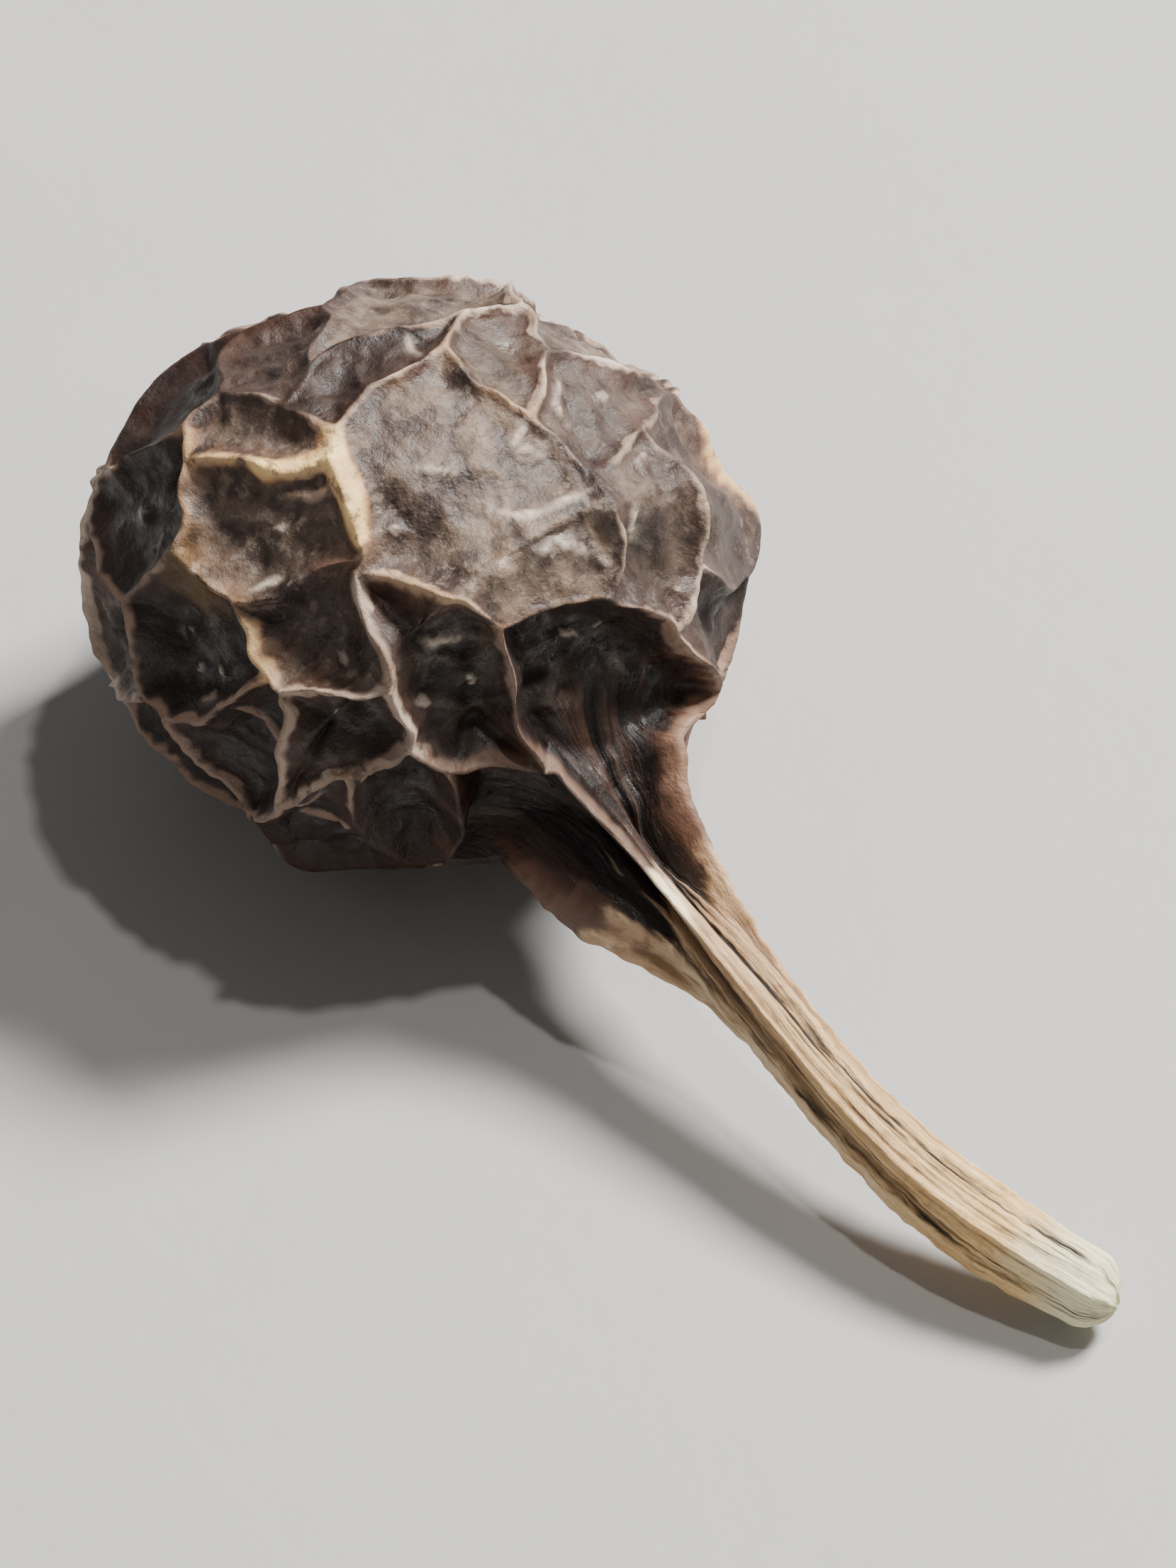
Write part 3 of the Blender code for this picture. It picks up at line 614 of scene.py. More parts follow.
def plates_of(points, faces, crests, centres):
    """Plate of each triangle, spread from each plate's middle."""
    walls = {tuple(edge) for edge in crests}
    sides = [{tuple(sorted((face[n], face[n - 1]))) for n in range(3)} for face in faces.tolist()]
    beside = {}
    for number, edges in enumerate(sides):
        for edge in edges:
            beside.setdefault(edge, []).append(number)
    middles = unit(to_rays(points)[faces].mean(axis=1))
    plate = np.full(len(faces), -1)
    for name, centre in enumerate(centres):
        start = int(np.argmax(middles @ centre))
        open_ends = [start] if plate[start] < 0 else []
        plate[open_ends] = name
        while open_ends:
            for edge in sides[open_ends.pop()] - walls:
                for other in beside[edge]:
                    if plate[other] < 0:
                        plate[other] = name
                        open_ends.append(other)
    return plate


def on_rim(points, limit):
    return size_of(points) > 0.9999 * limit


def sides_of(faces):
    return np.sort(np.concatenate([faces[:, [0, 1]], faces[:, [1, 2]], faces[:, [2, 0]]]), axis=1)


def split(points, faces, crests, plate, limit):
    """Every triangle in four, crests in two; the ring's points stay on the ring."""
    edges, where = np.unique(sides_of(faces), axis=0, return_inverse=True)
    middles = 0.5 * (points[edges[:, 0]] + points[edges[:, 1]])
    rim = on_rim(points[edges[:, 0]], limit) & on_rim(points[edges[:, 1]], limit)
    middles[rim] *= (limit / size_of(middles[rim]))[:, None]
    first = len(points)
    ab, bc, ca = first + where.reshape(3, -1)
    a, b, c = faces.T
    small = np.concatenate([np.stack(corner, axis=1) for corner in
                            ((a, ab, ca), (ab, b, bc), (ca, bc, c), (ab, bc, ca))])
    numbers = {tuple(edge): first + n for n, edge in enumerate(edges.tolist())}
    halves = [(end, numbers[tuple(edge)]) for edge in crests.tolist() for end in edge]
    return np.concatenate([points, middles]), small, np.array(halves), np.tile(plate, 4)


def relax(points, faces, crests, limit, rounds):
    """Crests rounded along their length, and the points between them evened out."""
    edges = np.unique(sides_of(faces), axis=0)
    count = len(points)
    on_crest = np.bincount(crests.reshape(-1), minlength=count)
    inner = (on_crest == 0) & ~on_rim(points, limit)
    along = (on_crest == 2) & ~on_rim(points, limit)
    scale = 1.0 / (1.0 + np.sum(points * points, axis=1))
    for _ in range(rounds):
        total = np.zeros((count, 2))
        weight = np.zeros(count)
        chain = np.zeros((count, 2))
        for a, b in ((0, 1), (1, 0)):
            np.add.at(total, edges[:, a], points[edges[:, b]] * scale[edges[:, b], None])
            np.add.at(weight, edges[:, a], scale[edges[:, b]])
            np.add.at(chain, crests[:, a], points[crests[:, b]])
        points[inner] = 0.5 * points[inner] + 0.5 * total[inner] / weight[inner, None]
        points[along] = 0.5 * points[along] + 0.25 * chain[along]
    return points


def search_tree(points):
    tree = KDTree(len(points))
    for number, point in enumerate(points):
        tree.insert(point, number)
    tree.balance()
    return tree


def crest_distance(points, crests):
    """Distance on the skin from each point to the nearest crest."""
    stations = [points[crests[:, 0]] * (1.0 - share) + points[crests[:, 1]] * share
                for share in np.linspace(0.0, 1.0, 5)]
    tree = search_tree(base_points(np.concatenate(stations)) / MM)
    return MM * np.array([tree.find(point)[2] for point in base_points(points) / MM])


def in_world(rays):
    return rays[:, :1] * AXIS + rays[:, 1:2] * SIDE + rays[:, 2:3] * OVER


def head_swell(rays):
    """Oval, lumps, flat side and nub of the head."""
    world = in_world(rays)
    oval = HEAD_FLATNESS * HEAD_RADIUS * ((world @ TO_RIGHT) ** 2 - (world @ TO_TOP) ** 2)
    lumps = LUMP_HEIGHT * waves(rays, *LUMPS)
    apart = size_of(rays - from_front(*FLAT_SIDE))
    flat = FLAT_SIDE_DEPTH * np.exp(-(apart / FLAT_SIDE_WIDTH) ** 2)
    neck = ease(0.80, 0.97, rays[:, 0])
    nub = NUB_HEIGHT * np.exp(-2.0 * (1.0 + rays[:, 0]) / NUB_WIDTH ** 2)
    return (oval + lumps - flat) * (1.0 - neck) + nub


def line_stops(line):
    """Rays along a line, with the share of its length at each."""
    ends = np.array([from_front(right, up) for right, up in line])
    stops = []
    for start, end in zip(ends[:-1], ends[1:]):
        for share in np.linspace(0.0, 1.0, 13):
            stops.append(unit(start * (1.0 - share) + end * share))
    return zip(stops, np.linspace(0.0, 1.0, len(stops)))


def fading_lines(rays, lines):
    """Strength of the given lines, fading over their sides."""
    share = np.zeros(len(rays))
    for strength, width, line in lines:
        nearest = np.full(len(rays), 9.0)
        for stop, _ in line_stops(line):
            nearest = np.minimum(nearest, size_of(rays - stop))
        share = np.maximum(share, strength * np.exp(-(nearest / width) ** 2))
    return share


def pale_spot(rays):
    """1 on the thick pale crests; a few lie behind as well."""
    spot = fading_lines(rays, PALE_LINES)
    front = rays @ from_front(0.0, 0.0)
    behind = 0.7 * ease(1.0, 1.9, waves(rays, *HIDDEN_GOLD)) * ease(0.35, 0.05, front)
    return np.maximum(spot, behind)


def line_marks(rays, lines, width):
    """1 along the given lines, fading at their sides and thin at their ends."""
    mark = np.zeros(len(rays))
    for line in lines:
        for stop, share in line_stops(line):
            taper = 0.35 + 0.65 * math.sin(math.pi * share)
            apart = size_of(rays - stop) * HEAD_RADIUS
            mark = np.maximum(mark, taper * np.exp(-(apart / (width * taper)) ** 2))
    return mark


def fine_net(mm, cells, seed, width, sway):
    """Thin raised lines between small cells of the skin."""
    random = default_rng(seed)
    tree = search_tree(unit(random.normal(size=(cells, 3))) * HEAD_RADIUS / MM)
    swayed = mm - CENTRE / MM
    swayed = swayed + sway * np.stack([waves(mm, 18, 2.2 / sway, seed + n) for n in range(3)], axis=1)
    gaps = np.empty(len(mm))
    for number, point in enumerate(swayed):
        near, far = tree.find_n(point, 2)
        gaps[number] = far[2] - near[2]
    return np.exp(-(gaps / width) ** 2)


def sway(points, limit):
    """Small wander of every point, so that no crest runs quite smooth."""
    mm = base_points(points) / MM
    reach = on_profile(points, "reach")
    scale = 0.5 * (1.0 + np.sum(points * points, axis=1)) / HEAD_RADIUS
    size = SWAY_SIZE * scale * (1.0 - ease(0.80 * HEAD_RADIUS, RING_AT, reach))
    moved = points.copy()
    for n in range(2):
        shift = waves(mm, 40, SWAY_PACE, 61 + n) + 0.26 * waves(mm, 40, 2.2 * SWAY_PACE, 63 + n)
        moved[:, n] += 0.6 * size * shift
    return moved


def off_angle(plane, angle, width):
    """Angle round the axis from a given one, in widths."""
    turn = np.arctan2(plane[:, 1], plane[:, 0]) - math.radians(angle)
    return ((turn + math.pi) % math.tau - math.pi) / math.radians(width)


def off_places(plane, reach, places):
    """Strength of each place, and how far off it the points are, in its own sizes."""
    for strength, angle, width, middle, length in places:
        yield strength, (reach - middle * MM) / (length * MM), off_angle(plane, angle, width)


def buttresses(plane, reach):
    return sum(height * np.exp(-along ** 2 - across ** 2)
               for height, along, across in off_places(plane, reach, BUTTRESSES))


def bare_and_lit_share(plane, reach):
    return np.max([strength * np.exp(-along ** 4 - across ** 2)
                   for strength, along, across in off_places(plane, reach, BARE_AND_LIT_PATCHES)], axis=0)


def furrow(plane, reach):
    """1 at the bottom of the furrow that runs down the stalk."""
    along = ease(NECK_START, 1.5 * NECK_START, reach) * (1.0 - ease(7.0 * MM, 8.2 * MM, reach))
    return along * np.exp(-off_angle(plane, FURROW_AT, FURROW_WIDTH) ** 2)


def ripples(mm):
    """Broad, middling and small unevenness of the skin."""
    return waves(mm, *BROAD), waves(mm, *MIDDLE), waves(mm, *SMALL)


def crest_cords(rays, mm, ripple, distance, spot, bold):
    """Height of the cords along the crests, with their vigour and width."""
    broad, middle, small = ripple
    vigour = np.clip(0.60 + 0.36 * waves(mm, *VIGOUR) + 0.17 * broad, 0.15, 1.0)
    vigour *= 1.0 - fading_lines(rays, FAINT_LINES)
    vigour = np.maximum(vigour, np.maximum(spot, bold))
    width = CREST_WIDTH * (0.80 + 0.15 * middle + (2.6 + 0.5 * broad) * spot ** 2 + 0.9 * bold)
    cord = CREST_HEIGHT * vigour * np.exp(-(distance / width) ** 2)
    cord *= np.clip(0.95 + 0.22 * broad + 0.28 * middle + 0.10 * small, 0.2, 1.5)
    cord += BANK_HEIGHT * spot * np.exp(-(distance / BANK_WIDTH) ** 2)
    return cord, vigour, width


def under_crests(rays, distance, depth):
    """How far the plates are sunk under their crests."""
    soft = np.sqrt(distance ** 2 + CREST_ROUNDING ** 2) - CREST_ROUNDING
    slope = CREST_SLOPE * (1.0 - NECK_NARROWING * ease(0.80, 0.95, rays[:, 0]))
    share = np.clip(soft / slope, 0.0, 1.0)
    return depth * (1.0 - (1.0 - share) ** 2)


def plate_marks(rays, mm, distance):
    """Fine marks on the plates, 0 to 1 each, and the depth of the dents."""
    glints = 0.6 * ease(2.0, 2.7, waves(mm, *GLINTS)) * ease(0.12 * MM, 0.30 * MM, distance)
    return SimpleNamespace(
        away=ease(0.03 * MM, 0.16 * MM, distance),
        net=fine_net(mm, *WRINKLE_NET) * ease(-0.7, 0.7, waves(mm, *WRINKLED)),
        craze=fine_net(mm, *CRAZE_NET) * ease(-1.0, 0.8, waves(mm, *CRAZED)),
        lines=line_marks(rays, FINE_LINES, LINE_WIDTH),
        flecks=np.maximum(line_marks(rays, FLECKS, FLECK_WIDTH), glints),
        extra=line_marks(rays, EXTRA_CRESTS, 1.25 * CREST_WIDTH),
        dents=fading_lines(rays, DENTS),
    )


def plate_relief(marks, ripple, depth):
    """Low relief of the plates; the deeper they lie, the more they are wrinkled."""
    broad, middle, small = ripple
    deep = np.clip(depth / DEEP_PLATE, 0.0, 1.2)
    wrinkle = (0.020 + 0.026 * deep) * marks.net + (0.009 + 0.013 * deep) * marks.craze
    uneven = SHALLOW_RIPPLE + (DEEP_RIPPLE - SHALLOW_RIPPLE) * np.clip(depth / DEEPEST, 0.0, 1.2)
    rough = (0.0068 + 0.0085 * deep) * middle + 0.0034 * small
    relief = marks.away * (uneven * broad + (wrinkle - 0.010 + rough) * MM)
    raised = LINE_HEIGHT * marks.lines + FLECK_HEIGHT * marks.flecks + EXTRA_HEIGHT * marks.extra
    return relief + (raised - marks.dents) * marks.away


def bark_fibres(angle, reach):
    """Fibres along the stalk: the whole bundle, then its broadest three alone."""
    drift = np.stack([1.3 * np.sin(0.9 * reach / MM + n) + 0.7 * np.sin(2.3 * reach / MM + 2.0 * n)
                      for n in range(len(FIBRES))], axis=1)
    counts = np.array([count for count, _ in FIBRES])
    shares = np.array([share for _, share in FIBRES])
    bundle = np.cos(angle[:, None] * counts + drift)
    return (bundle * shares).sum(axis=1), (bundle[:, :3] * FOLD_SHARES).sum(axis=1)


def neck_folds(reach, broad_fibres):
    """Folds where the head's skin is drawn out into the neck."""
    begun = ease(0.90 * HEAD_RADIUS, 1.12 * HEAD_RADIUS, reach)
    ended = ease(3.3 * MM, 5.4 * MM, reach)
    return FOLD_HEIGHT * (begun * (1.0 - ended)) * (np.clip(broad_fibres, -0.6, 1.1) - 0.5)


def tip_fray(reach, ripple, fibres):
    """How far the broken end is worn back between its fibres."""
    broad, middle, small = ripple
    broken = ease(BERRY_REACH - 0.30 * MM, BERRY_REACH - 0.04 * MM, reach)
    fray = 0.035 + 0.022 * broad + 0.016 * middle + 0.008 * small + 0.02 * fibres
    return np.maximum(fray, 0.0) * broken * MM


def worn_share(rays):
    """1 on the flat spot underneath, where the relief is rubbed off."""
    return ease(math.cos(0.62), math.cos(0.36), -in_world(rays)[:, 2])


def skin_shape(plane, reach, distance, depth):
    """Points of the skin in space, and what its surface is like there."""
    rays = to_rays(plane)
    angle = np.arctan2(plane[:, 1], plane[:, 0])
    mm = base_points(plane) / MM
    ripple = broad, middle, small = ripples(mm)
    stalk = ease(NECK_START, 1.55 * NECK_START, reach)
    tip = ease(BERRY_REACH - 1.15 * MM, BERRY_REACH - 0.35 * MM, reach)
    thin = 1.0 - 0.84 * ease(1.12 * NECK_START, 1.9 * NECK_START, reach)
    smooth = 1.0 - 0.50 * ease(4.5 * MM, 7.5 * MM, reach)
    spot = pale_spot(rays)
    bold = fading_lines(rays, BOLD_LINES)
    worn = worn_share(rays)
    groove = furrow(plane, reach)
    cord, vigour, width = crest_cords(rays, mm, ripple, distance, spot, bold)
    sunk = under_crests(rays, distance, depth)
    marks = plate_marks(rays, mm, distance)
    fibres, broad_fibres = bark_fibres(angle, reach)
    knots = waves(mm, *KNOTS)
    bark = (0.013 * fibres * smooth + 0.006 * knots + 0.004 * middle + 0.003 * small - 0.012) * MM

    height = head_swell(rays) + buttresses(plane, reach) - FURROW_DEPTH * groove
    height -= tip_fray(reach, ripple, fibres)
    height += (cord * (1.0 - 0.5 * stalk) - sunk) * thin * (1.0 - worn)
    relief = (1.0 - stalk) * plate_relief(marks, ripple, depth) + stalk * bark
    height += (relief + neck_folds(reach, broad_fibres)) * (1.0 - worn)
    reach_out = reach + height * on_profile(plane, "out_x")
    radius = on_profile(plane, "radius") + height * on_profile(plane, "out_r")
    points = place(reach_out, np.maximum(radius, 0.0), angle)

    ragged = np.maximum(distance + (0.014 * middle + 0.006 * small) * MM, 0.0)
    cord_share = np.exp(-(ragged / (width * 1.05)) ** 2) * vigour
    surface = dict(
        crest=np.maximum(cord_share, 0.9 * marks.extra * marks.away),
        near=np.exp(-(distance / (0.17 * MM)) ** 2),
        sunk=(sunk + 4.0 * marks.dents) / DEEP_PLATE * (1.0 - worn),
        spot=spot,
        vein=np.clip(0.75 * marks.net + 0.45 * marks.craze, 0.0, 1.0) * marks.away,
        line=marks.lines * marks.away * np.clip(0.75 + 0.35 * middle, 0.0, 1.0),
        fleck=marks.flecks * marks.away,
        stain=fading_lines(rays, STAINS),
        stalk=stalk,
        along=np.clip((reach - RING_AT) / (BERRY_REACH - RING_AT), 0.0, 1.0),
        groove=groove,
        tip=np.clip(tip + 0.72 * broad * tip * (1.0 - tip), 0.0, 1.0),
        bare=bare_and_lit_share(plane, reach),
        bold=bold,
        fibre=0.5 + 0.5 * smooth * np.clip(fibres, -1.0, 1.0),
        round_x=np.cos(angle),
        round_y=np.sin(angle),
        run=0.25 * reach / MM,
        neck=ease(0.82, 0.95, rays[:, 0]),
    )
    return points, surface


def mean_tone(faces, plate, plates):
    """How dark the plates round each point are."""
    tones = default_rng(TONE_SEED).uniform(0.25, 0.95, size=plates)
    tones[:len(SHADES)] = SHADES
    corners = faces.T.reshape(-1)
    return np.bincount(corners, np.tile(tones[plate], 3)) / np.bincount(corners)


def head_skin():
    """Points and triangles of the head down to the neck's ring."""
    plane, links, centres, depths, limit = skin_points()
    points, faces, crests = triangulate(plane, links)
    plate = plates_of(points, faces, crests, centres)
    for _ in range(SPLITS):
        points, faces, crests, plate = split(points, faces, crests, plate, limit)
    points = relax(points, faces, crests, limit, 3)
    distance = crest_distance(points, crests)
    depth = np.zeros(len(points))
    depth[faces] = depths[plate][:, None]
    rim = np.flatnonzero(on_rim(points, limit))
    turn = np.mod(np.arctan2(points[rim, 1], points[rim, 0]) - FIRST_COLUMN + 1e-6, math.tau)
    rim = rim[np.argsort(turn)]
    points = sway(points, limit)
    space, surface = skin_shape(points, on_profile(points, "reach"), distance, depth)
    surface["tone"] = mean_tone(faces, plate, len(centres))
    return space, surface, faces[:, ::-1], rim, distance[rim], depth[rim]


def stalk_skin(distance, depth):
    """Rings of points along the stalk, from beyond the neck's ring to the tip."""
    columns = len(distance)
    angles = FIRST_COLUMN + np.arange(columns) * math.tau / columns
    body = BERRY_REACH - TIP_LENGTH
    step = STALK_STEP * 1.0
    count = int(round((body - RING_AT) / step))
    rows = RING_AT + (body - RING_AT) * np.arange(1, count + 1) / count
    cap = body + TIP_LENGTH * np.sin(np.linspace(0.0, 0.5 * math.pi, 16)[1:-1])
    rows = np.concatenate([rows, cap])
    radii = np.interp(np.append(rows, RING_AT), PROFILE["reach"], PROFILE["radius"])
    plane = np.concatenate([plane_at(reach, angles) for reach in rows])
    narrow = np.repeat(radii[:-1] / radii[-1], columns)
    space, surface = skin_shape(plane, np.repeat(rows, columns), np.tile(distance, len(rows)) * narrow,
                                np.tile(depth, len(rows)) * np.clip(1.3 * narrow, 0.0, 1.0))
    surface["tone"] = np.full(len(space), 0.5)
    return space, surface


def berry_mesh():
    """The whole skin as one closed mesh with its surface values."""
    space, surface, faces, rim, distance, depth = head_skin()
    columns = len(rim)
    stalk, stalk_surface = stalk_skin(distance, depth)
    first = len(space)
    rings = np.concatenate([rim, first + np.arange(len(stalk))]).reshape(-1, columns)
    beside = np.roll(rings, -1, axis=1)
    quads = np.stack([rings[:-1], beside[:-1], beside[1:], rings[1:]], axis=-1).reshape(-1, 4)
    tip = place(np.array([BERRY_REACH - 0.05 * MM]), np.array([0.0]), np.array([0.0]))
    last = first + len(stalk)
    cap = np.stack([rings[-1], beside[-1], np.full(columns, last)], axis=1)
    points = np.clip(np.concatenate([space, stalk, tip]), CAD_BOX[0], CAD_BOX[1])
    triangles = np.concatenate([faces, quads[:, [0, 1, 2]], quads[:, [0, 2, 3]], cap])
    mesh = bpy.data.meshes.new("berry_skin")
    mesh.from_pydata(points.tolist(), [], triangles.tolist())
    mesh.validate()
    for name, values in surface.items():
        values = np.concatenate([values, stalk_surface[name], stalk_surface[name][-1:]])
        layer = mesh.attributes.new(name, "FLOAT", "POINT")
        layer.data.foreach_set("value", values.astype(np.float32))
    mesh.shade_smooth()
    return mesh


class Nodes:
    """A material's nodes, made in short words."""

    def __init__(self, name):
        self.material = bpy.data.materials.new(name)
        self.material.use_nodes = True
        self.tree = self.material.node_tree
        self.shader = self.tree.nodes["Principled BSDF"]
        self.where = self.add("TexCoord").outputs["Object"]

    def add(self, kind, values=None, **settings):
        node = self.tree.nodes.new("ShaderNode" + kind)
        for name, setting in settings.items():
            setattr(node, name, setting)
        self.put(node, values or {})
        return node

    def put(self, node, values):
        """Sets numbers and colours on a node's sockets, and links other sockets to them."""
        for name, value in values.items():
            if isinstance(value, bpy.types.NodeSocket):
                self.tree.links.new(value, node.inputs[name])
            elif isinstance(value, tuple):
                node.inputs[name].default_value = (*value, 1.0)
            else:
                node.inputs[name].default_value = value

    def surface(self, name):
        """Socket with one of the mesh's surface values."""
        node = self.add("Attribute", attribute_name=name, attribute_type="GEOMETRY")
        return node.outputs["Fac"]

    def math(self, operation, value, *others, clamp=False):
        for other in others:
            node = self.add("Math", {0: value, 1: other}, operation=operation,
                            use_clamp=clamp)
            value = node.outputs[0]
        return value

    def plus(self, *values):
        return self.math("ADD", *values)

    def minus(self, *values):
        return self.math("SUBTRACT", *values)

    def times(self, *values):
        return self.math("MULTIPLY", *values)

    def mix(self, share, first, second):
        return self.add("Mix", {0: share, 6: first, 7: second}, data_type="RGBA",
                        blend_type="MIX", clamp_factor=True).outputs[2]

    def coats(self, colour, *coats):
        """A colour with others laid over it, each with its share."""
        for share, coat in coats:
            colour = self.mix(share, colour, coat)
        return colour

    def noise(self, where, scale, detail, roughness=0.55, distortion=0.0):
        values = {"Vector": where, "Scale": scale, "Detail": detail, "Roughness": roughness,
                  "Distortion": distortion}
        return self.add("TexNoise", values, noise_dimensions="3D").outputs[0]

    def span(self, value, low, high, to_low=0.0, to_high=1.0):
        """A value's range eased to another range."""
        values = {0: value, 1: low, 2: high, 3: to_low, 4: to_high}
        return self.add("MapRange", values, interpolation_type="SMOOTHSTEP",
                        clamp=True).outputs[0]

    def bump(self, height, strength, distance, **under):
        values = {"Height": height, "Strength": strength, "Distance": distance, **under}
        return self.add("Bump", values).outputs["Normal"]


class Skin(Nodes):
    """Dried skin: dusty dark plates, hollows painted near-black as shade, pale crests, tan stalk, cream
    tip.
    """

    def __init__(self, mesh):
        super().__init__("dried_berry_skin")
        names = [layer.name for layer in mesh.attributes if layer.data_type == "FLOAT"]
        self.on = on = SimpleNamespace(**{name: self.surface(name) for name in names})
        grown = {"X": on.round_x, "Y": on.round_y, "Z": on.run}
        drawn_out = self.add("CombineXYZ", grown).outputs[0]
        on.hair = self.noise(drawn_out, 9.0, 5.0, 0.62, 0.4)
        on.cloud = self.noise(self.where, 900.0, 3.0)
        on.mottle = self.noise(self.where, 3300.0, 4.0, 0.6)
        on.grain = self.noise(self.where, 7500.0, 5.0, 0.65)
        on.pebble = self.noise(self.where, 19000.0, 3.0, 0.6)
        # The deeper a plate lies under its crests, and the darker its tone, the more painted shade;
        # shallow ones take dust.
        low = self.times(on.sunk, self.span(on.tone, 0.0, 1.0, 0.45, 1.20))
        on.shallow = self.span(low, 0.80, 0.25)
        on.dark = self.span(low, 0.40, 1.05)
        on.fold = self.plus(on.fibre, self.times(self.minus(on.hair, 0.5), 1.6))
        self.put(self.shader, {"Base Color": self.colour(), "Roughness": self.roughness(),
                               "Normal": self.normal(), "Metallic": 0.0, "IOR": 1.45})

    def plates(self):
        on, times, span = self.on, self.times, self.span
        light = span(on.tone, 1.0, 0.0)
        dusty = span(light, 0.0, 1.0, 0.05, 1.0)
        veined = span(light, 0.0, 1.0, 0.10, 0.60)
        return self.coats(
            self.mix(span(on.cloud, 0.35, 0.65), PLATE_BROWN, PLATE_GREY),
            (span(on.tone, 0.50, 1.00, 0.0, 0.90), PLATE_DARK),
            (times(span(on.mottle, 0.44, 0.64), on.shallow, dusty, 0.55), DUST),
            (times(span(on.grain, 0.54, 0.63), on.shallow, dusty, 0.40), SPECKS),
            (span(on.grain, 0.47, 0.37, 0.0, 0.75), PITS),
            # Painted shade: near-black in the deep hollows.
            (times(on.dark, 0.88), HOLLOW_SHADE),
            (times(on.near, span(on.cloud, 0.40, 0.58), 0.50), RUST),
            (times(on.stain, 0.80), STAIN),
            (times(on.spot, span(on.mottle, 0.42, 0.60), on.near, 0.70), GOLD_FOOT),
            (times(on.vein, span(on.mottle, 0.36, 0.56), veined), VEINS),
            # The darkest plates get darker still, partly as painted shade.
            (span(on.tone, 0.60, 1.00, 0.0, 0.42), PLATE_DARKEST),
            (on.line, FINE_LINE),
            # Painted highlight: pale flecks and glints on the glossy wrinkles.
            (span(on.fleck, 0.25, 0.90, 0.0, 0.75), FLECK_AND_GLINT),
        )

    def crests(self):
        on = self.on
        golden = self.coats(
            self.mix(self.span(on.crest, 0.35, 0.90), GOLD_SIDE, GOLD),
            (self.span(on.mottle, 0.60, 0.44, 0.0, 0.45), GOLD_PATCH),
        )
        return self.coats(
            self.mix(self.span(on.cloud, 0.38, 0.66), CREST_BROWN, CREST_PALE),
            (self.span(on.tone, 0.55, 1.0, 0.0, 0.75), CREST_DARK),
            (self.span(on.spot, 0.05, 0.85), golden),
            (self.span(on.grain, 0.46, 0.36, 0.0, 0.75), CREST_PITS),
        )

    def neck(self):
        on = self.on
        # Painted shade: dark where the fibres sink and near-black in deep hollows; random streaks too.
        streak = self.span(on.fold, 1.0, 0.0, 0.70, 1.0)
        return self.coats(
            self.mix(self.span(on.fold, 0.30, 0.85), NECK_DARK, NECK_RUST),
            (self.times(on.dark, streak), NECK_HOLLOW_SHADE),
            (self.span(on.crest, 0.12, 0.8), self.mix(on.bold, STRAND, STRAND_BOLD)),
        )

    def bark(self):
        on, times, span = self.on, self.times, self.span
        fresh = self.mix(on.along, BARK_FRESH, BARK_END)
        # Painted shade: the bark is darker where its fibres sink, with random streaks too.
        shaded = self.mix(on.along, BARK_SHADE, SHADE_END)
        return self.coats(
            self.mix(span(on.fold, 0.05, 0.75), shaded, fresh),
            (times(span(on.hair, 0.55, 0.70), 0.6), BARK_HAIRS),
            (times(span(on.grain, 0.53, 0.68), 0.28), BARK_SPECKS),
            # Painted shade along the bottom of the furrow.
            (span(on.groove, 0.35, 1.0, 0.0, 0.60), FURROW_SHADE),
            (on.tip, TIP),
            # Pale rubbed patches; the long one on the left is painted light, the first partly a painted
            # highlight.
            (times(on.bare, span(on.hair, 0.34, 0.56)), BARK_RUBBED_AND_LIT),
        )

    def colour(self):
        """Head, neck and bark; the bark begins later between the strands than on them."""
        on = self.on
        worn = self.times(on.crest, self.span(on.mottle, 0.30, 0.50, 0.45, 1.0))
        head = self.coats(
            self.plates(),
            (self.span(worn, 0.20, 0.62), self.crests()),
            (self.times(on.neck, 0.95), self.neck()),
        )
        lead = self.plus(self.times(self.minus(on.crest, 0.55), 0.35),
                         self.times(self.minus(on.fold, 0.5), 0.60))
        lead = self.times(lead, self.span(on.stalk, 0.05, 0.60))
        edge = self.plus(on.stalk, lead, self.times(on.bare, 0.6))
        return self.mix(self.span(edge, 0.54, 0.88), head, self.bark())

    def roughness(self):
        """Dull skin, smoother in the hollows and on flecks."""
        on = self.on
        wet = self.times(self.span(on.sunk, 0.35, 0.80), self.span(on.mottle, 0.48, 0.60), 0.24)
        rough = self.minus(self.span(on.grain, 0.35, 0.70, 0.45, 0.72), wet)
        rough = self.minus(rough, self.times(on.fleck, 0.30))
        return self.math("ADD", rough, self.times(on.stalk, 0.10), clamp=True)

    def normal(self):
        """Grit on the head, hairs along neck and stalk, and a fine pebbling over all."""
        on = self.on
        grit = self.plus(on.mottle, self.times(on.grain, 0.7))
        barky = self.math("MAXIMUM", on.stalk, on.neck)
        ground = self.times(grit, self.span(barky, 0.0, 1.0, 1.0, 0.35))
        ground = self.plus(ground, self.times(on.hair, self.times(barky, 1.2)))
        return self.bump(on.pebble, 0.60, PEBBLE_BUMP, Normal=self.bump(ground, 0.80, GRIT_BUMP))


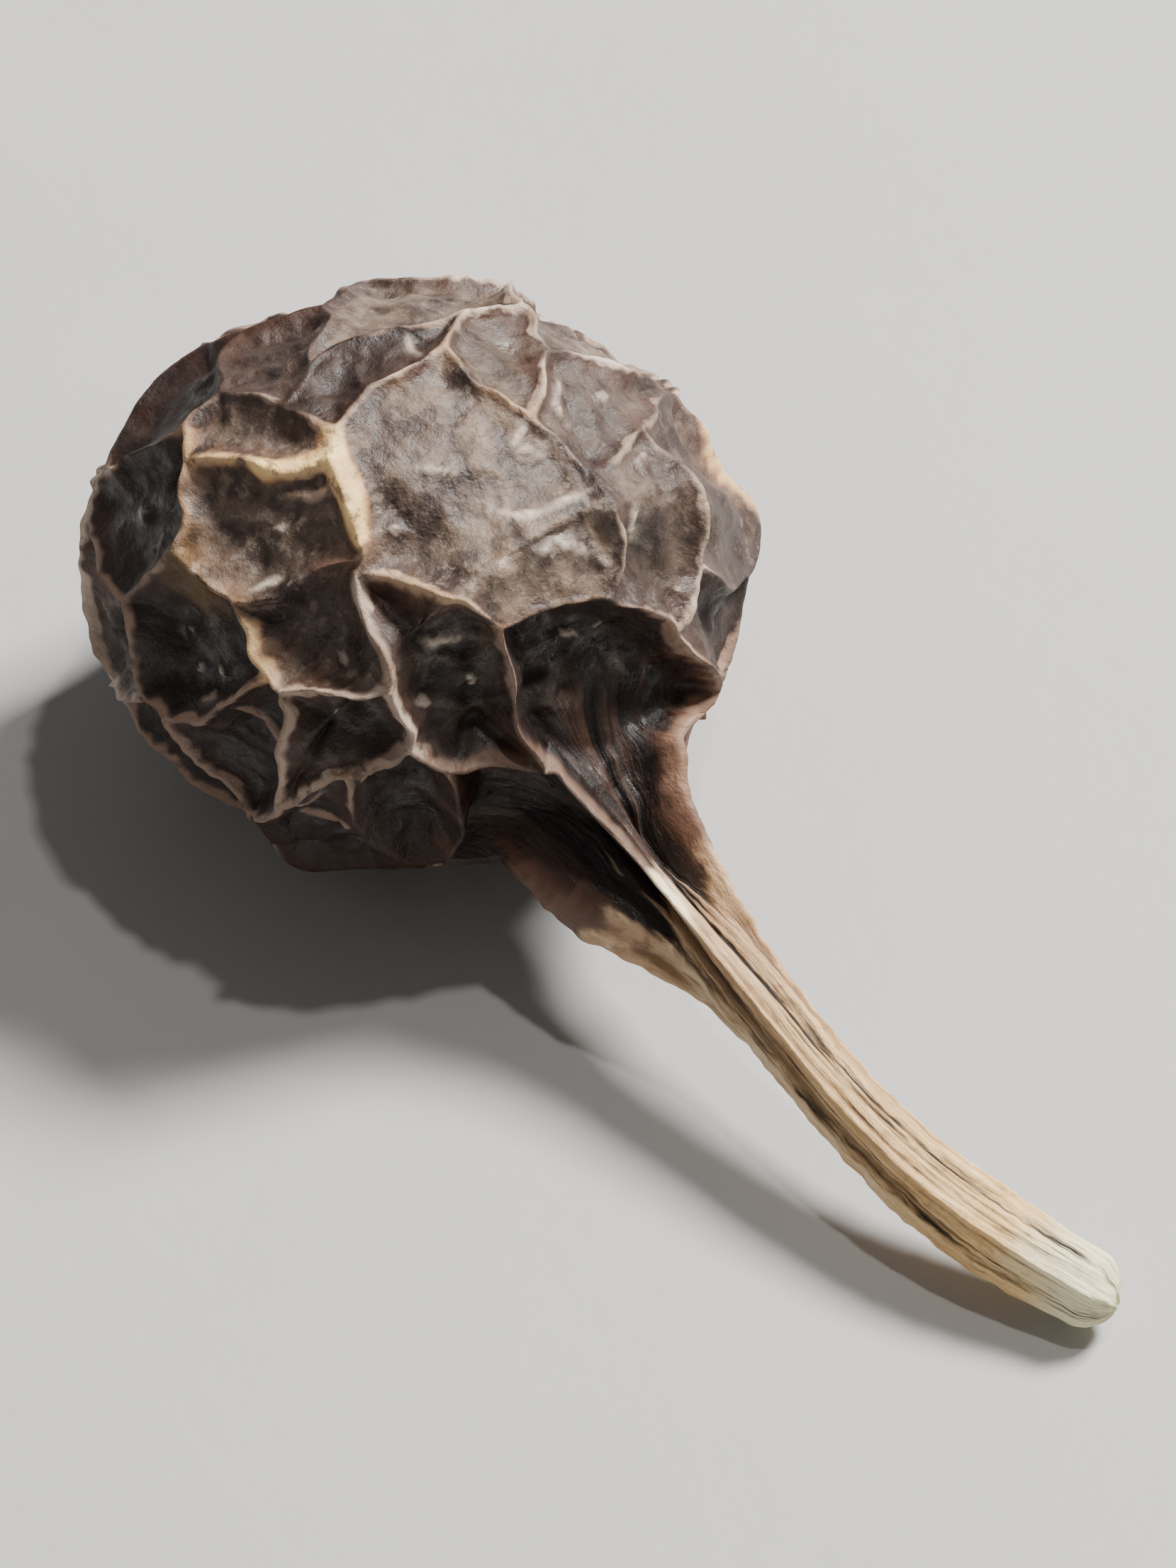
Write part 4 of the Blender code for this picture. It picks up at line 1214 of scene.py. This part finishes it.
def floor_material():
    floor = Nodes("pale_floor")
    cloud = floor.noise(floor.where, 220.0, 3.0)
    grain = floor.noise(floor.where, 2500.0, 4.0)
    floor.put(floor.shader, {"Base Color": floor.mix(cloud, FLOOR_GREY, FLOOR_PALE),
                             "Roughness": floor.span(cloud, 0.3, 0.7, 0.55, 0.70),
                             "Normal": floor.bump(grain, 0.15, FLOOR_BUMP)})
    return floor.material


def show(thing):
    bpy.context.scene.collection.objects.link(thing)


def add_berry():
    berry = bpy.data.objects.new("berry", berry_mesh())
    berry.data.materials.append(Skin(berry.data).material)
    show(berry)
    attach(berry, "root")
    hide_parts("cubeb_pepper")


def add_floor():
    mesh = bpy.data.meshes.new("floor")
    corners = ((-1.0, -1.0), (1.0, -1.0), (1.0, 1.0), (-1.0, 1.0))
    mesh.from_pydata([(FLOOR_HALF * x, FLOOR_HALF * y, 0.0) for x, y in corners], [], [(0, 1, 2, 3)])
    floor = bpy.data.objects.new("floor", mesh)
    floor.location = (0.0, 0.0, -FLOOR_GAP)
    floor.data.materials.append(floor_material())
    show(floor)


def add_light(name, right, up, front, size, power, colour):
    """Square lamp placed as seen from the camera and turned to the berry."""
    light = bpy.data.lights.new(name, "AREA")
    light.shape = "SQUARE"
    light.size = size
    light.energy = power
    light.color = colour
    lamp = bpy.data.objects.new(name, light)
    away = Vector(right * TO_RIGHT + up * TO_TOP + front * TO_FRONT)
    lamp.location = Vector(LIT_POINT) + away
    lamp.rotation_euler = away.to_track_quat("Z", "Y").to_euler()
    show(lamp)


def add_lights():
    for lamp in LAMPS:
        add_light(*lamp)
    world = bpy.data.worlds.new("room")
    world.use_nodes = True
    glow = world.node_tree.nodes["Background"].inputs
    glow["Color"].default_value = (*ROOM_COLOUR, 1.0)
    glow["Strength"].default_value = ROOM_STRENGTH
    bpy.context.scene.world = world


def add_camera():
    camera = bpy.data.cameras.new("camera")
    camera.lens = CAMERA_LENS
    camera.clip_start = 0.001
    camera.clip_end = 10.0
    view = bpy.data.objects.new("camera", camera)
    target = CENTRE + AIM_RIGHT * TO_RIGHT - AIM_DOWN * TO_TOP
    view.location = Vector(target + CAMERA_AWAY * TO_FRONT)
    view.rotation_euler = Vector(TO_FRONT).to_track_quat("Z", "Y").to_euler()
    show(view)
    bpy.context.scene.camera = view


add_berry()
add_floor()
add_lights()
add_camera()
